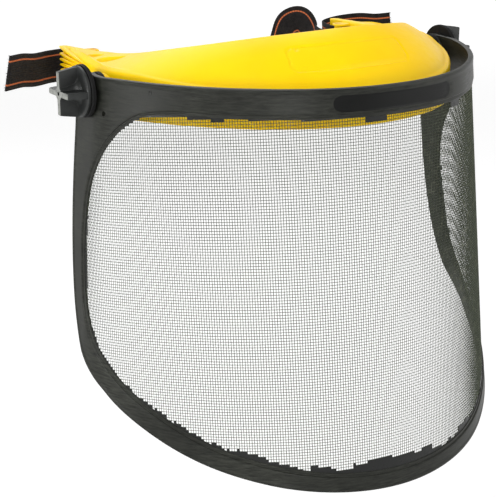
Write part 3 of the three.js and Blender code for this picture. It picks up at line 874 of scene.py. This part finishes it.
def flash_reach(u, v):
    """How many cells deep the flash runs in from the opening's edge at a place on the sheet."""
    edge = "top" if v < 60 else "bottom"
    for start, end, where, cells in FLASH_PATCHES:
        if where == edge and start < u < end:
            return cells
    wave = math.sin(0.13 * u + 0.09 * v) + math.sin(0.29 * u - 0.21 * v + 2.1) + 0.6 * math.sin(0.61 * u)
    return 1 if edge == "bottom" and wave > -0.3 else 0


NEIGHBOURS = ((1, 0), (-1, 0), (0, 1), (0, -1))
DEEPEST_FLASH = 5
FLASH_HALF_THICKNESS = 0.3
# The six faces of a cell, whose outer corners are 0 to 3 and inner corners 4 to 7.
CELL_FACES = ((0, 1, 2, 3), (7, 6, 5, 4), (0, 4, 5, 1), (1, 5, 6, 2), (2, 6, 7, 3), (3, 7, 4, 0))


def cell_depths(mouth):
    """How many cells in from the opening's edge each cell of the weave near it lies, from 1."""
    inside = set()
    for column in COLUMNS:
        span = crossings(mouth, 0, (column + 1) * PITCH_ACROSS)
        if span is None:
            continue
        for row in ROWS:
            if span[0] - 0.2 < (row + 1) * PITCH_DOWN < span[1] + 0.2:
                inside.add((column, row))
    depth = {}
    edge = {(c, r) for c, r in inside if any((c + a, r + b) not in inside for a, b in NEIGHBOURS)}
    for level in range(1, DEEPEST_FLASH + 1):
        for cell in edge:
            depth[cell] = level
        around = {(c + a, r + b) for c, r in edge for a, b in NEIGHBOURS}
        edge = {cell for cell in around if cell in inside and cell not in depth}
    return depth


def build_flash(mouth, material):
    """Fills whole cells of the weave with thin plastic, in steps. The first cells are inside the
    frame's own edge."""
    points, faces = [], []
    for (column, row), level in sorted(cell_depths(mouth).items()):
        if level > 1 + flash_reach(column * PITCH_ACROSS, row * PITCH_DOWN):
            continue
        corners = []
        for a, b in ((0.5, 0.5), (1.5, 0.5), (1.5, 1.5), (0.5, 1.5)):
            u, v = (column + a) * PITCH_ACROSS, (row + b) * PITCH_DOWN
            corners.append(roll(u, v, u))
        start = len(points)
        for out in (FLASH_HALF_THICKNESS, -FLASH_HALF_THICKNESS):
            points += [visor_point(s, h, out) for s, h in corners]
        faces += [tuple(start + i for i in quad) for quad in CELL_FACES]
    return mesh_object("moulding_flash", points, faces, material, smooth=False)


# ---- Pivot hardware ----
KNOB_FACE_X = 141.5
# Sections of the knob's star: x, wing reach, wing half thickness and hub radius.
KNOB_LEVELS = [
    (129.6, 13.5, 2.1, 9.4),
    (130.9, 13.6, 2.05, 7.8),
    (131.5, 13.55, 2.0, 6.4),
    (132.6, 13.4, 1.95, 5.4),
    (134.6, 13.1, 1.85, 4.6),
    (137.0, 12.7, 1.78, 4.1),
    (139.4, 12.3, 1.72, 3.8),
    (140.9, 12.0, 1.68, 3.6),
    (141.3, 11.85, 1.6, 3.5),
    (KNOB_FACE_X, 11.6, 1.4, 3.3),
]
FLANGE_PROFILE = [(128.3, 3.0), (128.3, 13.5), (128.7, 13.95), (129.4, 14.05), (130.0, 13.95), (130.5, 13.4),
                  (130.75, 12.4), (130.9, 3.0)]
FRICTION_RING_PROFILE = [(125.5, 3.2), (125.5, 14.1), (125.9, 14.5), (126.5, 14.55), (126.75, 14.3),
                         (127.0, 14.55), (127.6, 14.5), (128.0, 14.1), (128.0, 3.2)]
SPACER_PROFILE = [(115.9, 3.2), (115.9, 9.1), (116.3, 9.5), (118.5, 9.5), (118.9, 9.1), (118.9, 3.2)]
BOSS_PROFILE = [(108.5, 2.8), (108.5, 9.8), (112, 9), (114.8, 8), (115.6, 7.4), (115.6, 2.8)]
LARGE_RING_SEGMENTS = 128
HUB_ARC_STEPS = 8
KNOB_EDGE_WIDTH = 0.18
# A small round pit in the middle of the knob's face.
KNOB_PIT_RADIUS, KNOB_PIT_CUT = 1.1, 4


def star_outline(reach, half, hub):
    """A plus shape whose arms join a round hub, as (y, z) pairs anticlockwise."""
    root = math.sqrt(max(hub * hub - half * half, 0.01))
    start = math.atan2(half, root)
    corner = min(0.55, half * 0.5)
    quarter = [(reach, -half + corner), (reach, half - corner), (reach - corner * 0.3, half - corner * 0.3),
               (reach - corner, half), ((reach + root) / 2, half)]
    for k in range(HUB_ARC_STEPS + 1):
        turn = start + (math.pi / 2 - 2 * start) * k / HUB_ARC_STEPS
        quarter.append((hub * math.cos(turn), hub * math.sin(turn)))
    quarter += [(half, (reach + root) / 2), (half, reach - corner),
                (half - corner * 0.3, reach - corner * 0.3)]
    outline = []
    for k in range(4):
        c, s = round(math.cos(k * math.pi / 2)), round(math.sin(k * math.pi / 2))
        outline += [(c * y - s * z, s * y + c * z) for y, z in quarter]
    return outline


def build_knob(side, name, material, dark):
    """The knob's flange and star, and the two rings behind it."""
    body = f"knob_unit_{name}"
    flange = turned(f"knob_flange_{name}", FLANGE_PROFILE, material, side, LARGE_RING_SEGMENTS)
    add_piece(flange, body, "knob_black", f"knob_{name}")
    rings = [[(side * x, y, z) for y, z in star_outline(reach, half, hub)]
             for x, reach, half, hub in KNOB_LEVELS]
    star = loft(f"knob_star_{name}", rings, False, material, 32)
    bore(star, (side * KNOB_FACE_X, 0, 0), KNOB_PIT_RADIUS, KNOB_PIT_CUT, segments=32)
    bevel = star.modifiers.new("soft_edges", "BEVEL")
    bevel.width = KNOB_EDGE_WIDTH * MM
    bevel.segments = 2
    bevel.limit_method = "ANGLE"
    bevel.angle_limit = math.radians(40)
    add_piece(star, body, "knob_black")
    # The friction ring is near black partly as painted shade: the shadow in the gap behind the knob's flange.
    washer = turned(f"friction_ring_{name}", FRICTION_RING_PROFILE, dark, side, LARGE_RING_SEGMENTS)
    add_piece(washer, "visor", "rubber", f"friction_washer_{name}")
    spacer = turned(f"spacer_ring_{name}", SPACER_PROFILE, dark, side)
    add_piece(spacer, "head_unit", "washer_plastic", f"spacer_washer_{name}")


def build_pivot_boss(side, name, material):
    """The tapered boss on the guard that the bolt goes through."""
    add_piece(turned(f"pivot_boss_{name}", BOSS_PROFILE, material, side), "head_unit", "guard_yellow")


# ---- Brow guard ----

# Stations from the middle to the wearer's left temple: x, y and z of the dome's front edge, z of the
# skirt's lower edge, then x, y and z of the crest.
GUARD_EDGES = [
    (0, -101, 3, -14.5, 0, -65, 32),
    (30, -96.3, 3, -14.5, 24.6, -61.3, 31),
    (58, -82.6, 3.6, -14.5, 47.5, -50.3, 28.6),
    (80.5, -61.5, 5, -14.7, 67.2, -32.8, 24.6),
    (96, -39.5, 7, -15, 80.6, -13.3, 20.5),
    (105.5, -17.5, 8.8, -15.4, 88.1, 3.8, 17),
    (109.8, 0, 9.4, -15.6, 92.2, 18.4, 15),
    (110.4, 18, 9.8, -15, 94.5, 33.5, 14),
    (109.6, 32, 10.4, -14.2, 95.4, 43, 13.2),
    (107.2, 48, 11.2, -13.6, 96.6, 55, 12.8),
    (104.6, 62, 11.6, -13.4, 97.4, 65, 12.5),
]
HEADBAND_BOTTOM_Z = -8
GUARD_STATIONS = 620
DOME_STEPS = 44
CEILING_STEPS = 8
SHELL_THICKNESS = 2.6
WALL_THICKNESS = 2.2
PIVOT_SWELL = 5.2  # how far the skirt swells out round each pivot boss
# A mark's place on the dome is its millimetres along from the middle and how far up it is, from 0 at
# the front edge to 1 at the crest. Between those two edges the dome measures about this much.
DOME_BREADTH = 40
BADGE_CENTRE = -8
BADGE_DEPTH = 0.75
BADGE_HALF_LENGTH = 40
BADGE_MIDDLE, BADGE_HALF_HEIGHT = 0.47, 0.19
BADGE_CORNER = 0.09
GATE_MARK = (-42, 0.62)
# Leaf-shaped hollows on each temple: first and last y, where up the dome they start and end, and
# half their breadth.
LEAVES = ((-8, 19, 0.8, 0.17, 0.19), (15, 34, 0.7, 0.2, 0.18))
LEAF_DEPTH = 1.9


def guard_rows(count):
    """The guard's front edge, lower edge and crest at each station, from the wearer's right temple
    round to the left."""
    def column(places):
        right = [tuple(row[i] for i in places) for row in GUARD_EDGES]
        left = [(-p[0], *p[1:]) for p in reversed(right[1:])]
        return left + right
    fronts, lows, crests = column((0, 1, 2)), column((0, 1, 3)), column((4, 5, 6))
    return [[curve_point(points, k / (count - 1), False) for points in (fronts, lows, crests)]
            for k in range(count)]


def badge_groove(along, up):
    """A thin debossed outline of a rounded rectangle on the front of the dome."""
    corner = BADGE_CORNER * DOME_BREADTH
    past_length = max(abs(along) - (BADGE_HALF_LENGTH - corner), 0)
    past_height = max(abs(up - BADGE_MIDDLE) * DOME_BREADTH - (BADGE_HALF_HEIGHT * DOME_BREADTH - corner), 0)
    away = abs(math.hypot(past_length, past_height) - corner)
    return BADGE_DEPTH * (1 - smoothstep(0.3, 0.9, away))


def gate_mark(along, up):
    """A small round pit where the plastic entered the mould."""
    distance = math.hypot(along - GATE_MARK[0], (up - GATE_MARK[1]) * DOME_BREADTH)
    return 1 - smoothstep(0.5, 1.4, distance)


def leaf_groove(y, up):
    """The two leaf-shaped hollows side by side on each temple."""
    deepest = 0
    for start, end, high, low, broad in LEAVES:
        part = (y - start) / (end - start)
        if not 0 < part < 1:
            continue
        middle = high + (low - high) * part
        half = broad * math.sin(math.pi * part ** 1.4) ** 0.7
        deepest = max(deepest, LEAF_DEPTH * smoothstep(0, 0.06, half - abs(up - middle)))
    return deepest


def shoulder_bead(y, up):
    """A low ridge where the dome of each temple meets its side."""
    place = math.exp(-((up - 0.03) / 0.045) ** 2)
    return 0.9 * smoothstep(-20, 10, y) * (1 - smoothstep(36, 58, y)) * place


def dome_height(up, top, back, lift):
    """The dome's height at `up`, from 0 at its front edge to 1 at the crest."""
    return top + lift + (back - top - lift) * up * (1.55 - 0.55 * up)


def guard_section(front, low, crest, along):
    """The shell's closed section at one station: (distance forward of the crest, z) pairs."""
    width = math.hypot(front[0] - crest[0], front[1] - crest[1])
    top, bottom, back = front[2], low[2], crest[2]
    wall = min(WALL_THICKNESS, width * 0.28)
    shoulder = min(3.2, width * 0.3)
    reach = width + PIVOT_SWELL * math.exp(-((front[1] - 2) / 18) ** 2)
    lift = 1.4 * (1 - smoothstep(38, 60, front[1]))
    skirt = [(reach - 0.3, bottom), (reach, bottom + 0.35), (reach, bottom + 2), (reach, top - 6),
             (reach, top - 3), (reach, top - 1.6), (reach - 0.22, top - 0.5),
             (reach - 0.75, top + 0.25 * lift), (reach - 1.6, top + 0.7 * lift)]
    dome = []
    for k in range(DOME_STEPS + 1):
        up = k / DOME_STEPS
        height = dome_height(up, top, back, lift)
        height -= badge_groove(along - BADGE_CENTRE, up)
        height -= gate_mark(along, up)
        height -= leaf_groove(front[1], up) * min(1, width / 14)
        height += shoulder_bead(front[1], up)
        dome.append(((reach - shoulder) * (1 - up) + 2.2 * up, height))
    crest_and_wall = [(1.3, back - 0.25), (0.45, back - 0.9), (0.05, back - 2.0), (0, back - 4),
                      (0, HEADBAND_BOTTOM_Z + 0.4), (0.4, HEADBAND_BOTTOM_Z), (wall - 0.4, HEADBAND_BOTTOM_Z),
                      (wall, HEADBAND_BOTTOM_Z + 0.4), (wall, back - 4.5), (wall + 1.2, back - 3.6)]
    ceiling = []
    for k in range(CEILING_STEPS + 1):
        up = 1 - k / CEILING_STEPS
        forward = (width - wall - 1.5) * (1 - up) + (wall + 2.0) * up
        ceiling.append((forward, dome_height(up, top, back, lift) - SHELL_THICKNESS))
    inner_skirt = [(width - wall, top - 3.5), (width - wall, bottom + 0.4), (width - wall + 0.3, bottom)]
    return skirt + dome + crest_and_wall + ceiling + inner_skirt


def build_guard(material):
    """The arched shell: skirt, shoulder, dome, crest and headband wall, open below."""
    rows = guard_rows(GUARD_STATIONS)
    lengths = [0.0]
    for (a, _, _), (b, _, _) in zip(rows, rows[1:]):
        lengths.append(lengths[-1] + math.dist(a[:2], b[:2]))
    middle = lengths[-1] / 2
    rings = []
    for (front, low, crest), length in zip(rows, lengths):
        width = math.hypot(front[0] - crest[0], front[1] - crest[1])
        ux, uy = (front[0] - crest[0]) / width, (front[1] - crest[1]) / width
        rings.append([(crest[0] + ux * forward, crest[1] + uy * forward, z)
                      for forward, z in guard_section(front, low, crest, length - middle)])
    shell = loft("guard_shell", rings, False, material, 55)
    add_piece(shell, "head_unit", "guard_yellow", "brow_guard", "brow_skirt", "headband_wall")


# ---- Strap lugs ----
# Sections of the plate: y, outer x, thickness, lowest z and highest z.
LUG_SECTIONS = [
    (52, 104.6, 7.0, -13.0, 11.6), (62, 103.6, 6.0, -13.0, 12.0), (66, 102.6, 4.8, -13.0, 12.0),
    (74, 101.6, 3.4, -12.8, 11.8), (79, 101.0, 2.4, -12.4, 11.6), (80.5, 100.6, 1.6, -12.0, 11.2),
]
RIB_START_Y, RIB_LENGTH = 33, 48
RIB_STEPS = 12
RIB_TIPS = [10.8, 6.7, 3.4, 0.1, -3.2, -6.5, -9.8]
POST_X, POST_Y = 90, 60
POST_BOTTOM, POST_HEIGHT = -14.1, 25.2
POST_STEPS, POST_SIDES = 14, 28
# Lowest and highest z of the two lips that tie the post to the lug.
POST_LIPS = ((9.7, 11.1), (-14.1, -12.7))
LIP_MIDDLE_X = 94


def lug_plate_section(side, y, outer, thickness, low, high):
    """An upright rectangle with clipped corners."""
    edge = min(0.5, thickness * 0.25)
    inner = outer - thickness
    corners = [(outer - edge, low), (outer, low + edge), (outer, high - edge), (outer - edge, high),
               (inner + edge, high), (inner, high - edge), (inner, low + edge), (inner + edge, low)]
    return [(side * x, y, z) for x, z in corners]


def rib_section(side, tip, step):
    """One section of a rib that fans out backwards to the height `tip`."""
    part = step / RIB_STEPS
    root = 5.2 + tip * 0.3
    z = root + (tip - root) * part ** 0.9
    outer = 109.8 - 0.9 * part - 6.4 * part ** 1.5
    half = 0.3 + 0.75 * smoothstep(0, 0.35, part)
    deep = 1.0 + 2.2 * part
    if step == RIB_STEPS:
        half *= 0.55
    edge = half * 0.45
    corners = [(outer - edge, z - half), (outer + 0.25, z - half + edge), (outer + 0.25, z + half - edge),
               (outer - edge, z + half), (outer - deep, z + half), (outer - deep, z - half)]
    return [(side * x, RIB_START_Y + RIB_LENGTH * part, corner_z) for x, corner_z in corners]


def post_section(side, step):
    """One round section of the post, which swells a little at both ends."""
    part = step / POST_STEPS
    radius = 2.0 + 0.25 * abs(2 * part - 1) ** 4
    turns = [2 * math.pi * i / POST_SIDES for i in range(POST_SIDES)]
    return [(side * (POST_X + radius * math.cos(turn)), POST_Y + radius * math.sin(turn),
             POST_BOTTOM + POST_HEIGHT * step / POST_STEPS) for turn in turns]


def lip_outline():
    """The (x, y) outline of a lip: round the post and square against the lug."""
    turns = [math.pi / 2 + math.pi * k / 12 for k in range(13)]
    return [(POST_X + 2.6 * math.cos(turn), POST_Y + 4.5 * math.sin(turn)) for turn in turns] + \
        [(99, 55.5), (99, 64.5)]


def build_lug(side, name, material):
    """The end of the temple: a comb of ribs that fan out backwards over a thin plate, with the post
    that the strap turns round."""
    def add_yellow(piece_name, rings, sharp_degrees):
        add_piece(loft(piece_name, rings, False, material, sharp_degrees), "head_unit", "guard_yellow")

    add_yellow(f"lug_plate_{name}", [lug_plate_section(side, *row) for row in LUG_SECTIONS], 30)
    for number, tip in enumerate(RIB_TIPS):
        add_yellow(f"lug_rib_{name}_{number}", [rib_section(side, tip, k) for k in range(RIB_STEPS + 1)], 30)
    add_yellow(f"strap_post_{name}", [post_section(side, k) for k in range(POST_STEPS + 1)], 40)
    for number, (low, high) in enumerate(POST_LIPS):
        rings = [[(side * (LIP_MIDDLE_X + (x - LIP_MIDDLE_X) * grow), POST_Y + (y - POST_Y) * grow, z)
                  for x, y in lip_outline()]
                 for z, grow in ((low, 0.94), (low + 0.25, 1), (high - 0.25, 1), (high, 0.94))]
        add_yellow(f"post_lip_{name}_{number}", rings, 35)


# ---- Soft pieces ----
HEAD_HALF_WIDTH, HEAD_HALF_LENGTH, HEAD_CENTRE_Y = 95, 110, 45
BAND_REACH = math.radians(60)
BAND_BOTTOM = -7.0
BAND_STEPS, BAND_SIDES = 260, 40
STITCHES_PER_ROW = 150
STITCH_INSET = 3.2
THREAD_RADIUS = 0.22
QUARTER_TURNS = (0, math.pi / 2, math.pi, 3 * math.pi / 2)


def headband_point(angle, inward, z):
    """A point `inward` of the headband wall, at `angle` round the head from the middle of the brow."""
    normal = Vector((math.sin(angle) * HEAD_HALF_LENGTH, -math.cos(angle) * HEAD_HALF_WIDTH)).normalized()
    return (HEAD_HALF_WIDTH * math.sin(angle) - inward * normal.x,
            HEAD_CENTRE_Y - HEAD_HALF_LENGTH * math.cos(angle) - inward * normal.y, z)


def band_top(across):
    """Height of the sweatband's upper edge, with `across` from -1 to 1 along it."""
    return 26 - 12 * across ** 2


def sweatband_section(across, phases):
    """The cushion's closed section: full and creased towards the head, and pinched at the stitches."""
    angle = across * BAND_REACH
    bottom, top = BAND_BOTTOM, band_top(across)
    end = 1 - smoothstep(0.955, 1.0, abs(across)) * 0.75
    section = []
    for i in range(BAND_SIDES):
        turn = 2 * math.pi * i / BAND_SIDES
        c, s = math.cos(turn), math.sin(turn)
        flat = math.copysign(abs(c) ** 0.45, c)
        tall = math.copysign(abs(s) ** 0.7, s)
        height = (bottom + top) / 2 + tall * (top - bottom) / 2
        edge = min(height - bottom, top - height)
        puff = 1 - 0.35 * math.exp(-((edge - STITCH_INSET) / 0.9) ** 2)
        crease = 0.22 * math.sin(angle * 22 + phases[0]) * math.sin(height * 0.3 + phases[1])
        crease += 0.12 * math.sin(angle * 57 + phases[2] + height * 0.2)
        inward = 3.5 + 3.0 * flat * puff * end + (crease if flat > 0 else 0)
        section.append(headband_point(angle, max(inward, 0.45), height))
    return section


def build_sweatband(material):
    """A foam band wrapped in cloth."""
    rng = random.Random(7)
    phases = [rng.uniform(0, 6.28) for _ in range(3)]
    rings = [sweatband_section(2 * k / BAND_STEPS - 1, phases) for k in range(BAND_STEPS + 1)]
    pad = loft("sweatband", rings, False, material, 60)
    add_piece(pad, "head_unit", "foam", "forehead_pad")


def build_stitches(material):
    """A row of short raised stitches near each long edge of the sweatband."""
    points, faces = [], []
    for low_row in (True, False):
        for k in range(STITCHES_PER_ROW):
            across = (k + 0.5) / (STITCHES_PER_ROW / 2) - 1
            if abs(across) > 0.95:
                continue
            z = BAND_BOTTOM + STITCH_INSET if low_row else band_top(across) - STITCH_INSET
            rings = []
            for j in range(5):
                part = j / 4
                angle = (across + (part - 0.5) * 0.0085) * BAND_REACH
                lift = 5.45 + 0.35 * math.sin(math.pi * part)
                rings.append([headband_point(angle, lift + THREAD_RADIUS * math.sin(t),
                                             z + THREAD_RADIUS * math.cos(t)) for t in QUARTER_TURNS])
            faces += skin(rings, False, len(points))
            points += [p for ring in rings for p in ring]
    add_piece(mesh_object("sweatband_stitches", points, faces, material), "head_unit", "foam")


# Points the strap's middle line passes through, from its loose end by the right temple, round the
# right post, behind the head, round the left post and out to its other loose end.
STRAP_PATH = [
    (-140.5, 66.8, 1), (-131, 72.6, 0.6), (-121, 78, -1), (-106.5, 86.2, -1.5), (-98, 86.4, -1.5),
    (-94, 76, -1.5), (-93.6, 63, -1.5), (-92.2, 57, -1.5), (-89.6, 56.3, -1.5), (-86.2, 58.6, -1.5),
    (-84, 68, -1.9), (-77.5, 88, -4.8), (-71.5, 109, -9), (-60, 134, -21), (-34, 153, -35),
    (0, 160, -41), (34, 154, -38), (60, 137, -33), (73, 121, -32), (79.5, 112.5, -12), (83, 106, 6),
    (87.5, 99, 8.5), (90, 88, -1), (87, 75, -3.6), (86.1, 60, -1.5), (89.6, 56.3, -1.5),
    (92.2, 57, -1.5), (93.6, 63, -1.5), (94, 76, -1.5), (98, 86.4, -0.5), (106.5, 86.2, 1.5),
    (121, 78, 3.8), (131, 71.7, 3.2), (140, 66.5, 4),
]
STRAP_STEPS = 12 * (len(STRAP_PATH) - 1)
STRAP_HALF_WIDTH = 10
STRAP_HALF_THICKNESS = 0.75
FRAYS_PER_END = 90


def strap_section():
    """(across, out, u) round the band: two flat faces with round edges. u is 0 to 1 across it."""
    flats = 12
    section = []
    for sign in (1, -1):
        for k in range(flats + 1):
            across = sign * (1 - 2 * k / flats) * (STRAP_HALF_WIDTH - 0.5)
            section.append((across, sign * STRAP_HALF_THICKNESS))
        section.append((-sign * (STRAP_HALF_WIDTH - 0.1), sign * STRAP_HALF_THICKNESS * 0.5))
        section.append((-sign * (STRAP_HALF_WIDTH - 0.1), -sign * STRAP_HALF_THICKNESS * 0.5))
    return [(across, out, 0.5 + across / (2 * STRAP_HALF_WIDTH)) for across, out in section]


def end_slant(step, across):
    """How far a point near a cut end is moved along the strap, as neither end is cut square."""
    if step < 6:
        return -(1 - step / 6) * (STRAP_HALF_WIDTH - across) * 0.3
    if step > STRAP_STEPS - 4:
        return (1 - (STRAP_STEPS - step) / 4) * (STRAP_HALF_WIDTH - across) * 0.06
    return 0.0


def build_strap(material):
    """The woven band with its edges curling a little, and the loose fibres at its ends."""
    centres = [Vector(curve_point(STRAP_PATH, k / STRAP_STEPS, False)) for k in range(STRAP_STEPS + 1)]
    rings, uvs, ends = [], [], []
    length = 0.0
    for k, centre in enumerate(centres):
        before, after = centres[max(k - 1, 0)], centres[min(k + 1, STRAP_STEPS)]
        along = (after - before).normalized()
        up = (Vector((0, 0, 1)) - along * along.z).normalized()
        out = along.cross(up)
        if k:
            length += (centre - centres[k - 1]).length
        curl = 0.35 * math.sin(length * 0.21) * (1 if 40 < length < 400 else 0.4)
        ring = []
        for across, offset, u in strap_section():
            slant = end_slant(k, across)
            lift = offset + curl * (across / 10) ** 2
            ring.append(tuple(centre + up * across + out * lift + along * slant))
            uvs.append((u, length + slant))
        rings.append(ring)
        if k in (0, STRAP_STEPS):
            ends.append((ring, along * (-1 if k == 0 else 1)))
    points = [p for ring in rings for p in ring]
    piece = mesh_object("elastic_strap", points, skin(rings, False), material, uvs=uvs)
    face_outward(piece)
    add_piece(piece, "head_unit", "elastic", "head_strap")
    build_frays(ends, material)


def build_frays(ends, material):
    """Short loose fibres at the two cut ends."""
    rng = random.Random(11)
    points, faces, uvs = [], [], []
    for ring, along in ends:
        for _ in range(FRAYS_PER_END):
            start = Vector(ring[rng.randrange(len(ring))])
            tilt = Vector((rng.uniform(-1, 1), rng.uniform(-1, 1), rng.uniform(-1, 1)))
            reach = rng.uniform(0.5, 1.7)
            u = rng.uniform(0.25, 0.75)
            rings = []
            for j in range(4):
                part = j / 3
                centre = start + along * (reach * part - 0.3) + tilt * (0.45 * part * part * reach)
                size = 0.09 * (1 - 0.7 * part)
                corners = [(size * math.cos(t), size * math.sin(t), size * math.sin(t + 1))
                           for t in (0, 2.1, 4.2)]
                rings.append([tuple(centre + Vector(corner)) for corner in corners])
            faces += skin(rings, False, len(points))
            points += [p for fray_ring in rings for p in fray_ring]
            uvs += [(u, 0.0)] * 12
    add_piece(mesh_object("strap_frays", points, faces, material, uvs=uvs), "head_unit", "elastic")


# ---- Build everything ----

add_camera()
add_sky()
add_floor()
for lamp_row in LAMPS:
    add_lamp(*lamp_row)

YELLOW = yellow_plastic()
FRAME_BLACK = frame_plastic()
KNOB_BLACK = knob_plastic()
FLASH = flash_plastic()
WIRE = wire_metal()
RUBBER = rubber()
STEEL = plated_steel()
NYLON = dark_nylon()
CLOTH = terry_cloth()
WEBBING = elastic_webbing()

build_visor_frame(FRAME_BLACK)
build_ear_seats(FRAME_BLACK)
build_mould_marks(FRAME_BLACK)
build_screen(WIRE, FLASH)
build_guard(YELLOW)
for body_side, side_name in SIDES:
    build_lug(body_side, side_name, YELLOW)
    build_pivot_boss(body_side, side_name, YELLOW)
    build_knob(body_side, side_name, KNOB_BLACK, RUBBER)
build_sweatband(CLOTH)
build_stitches(NYLON)
build_strap(WEBBING)

for node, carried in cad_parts.items():
    if node.startswith(("pivot_bolt", "knob_nut", "knob_washer")):
        carried.material_slots[0].material = STEEL
    elif node.startswith("pad_stud"):
        carried.material_slots[0].material = NYLON
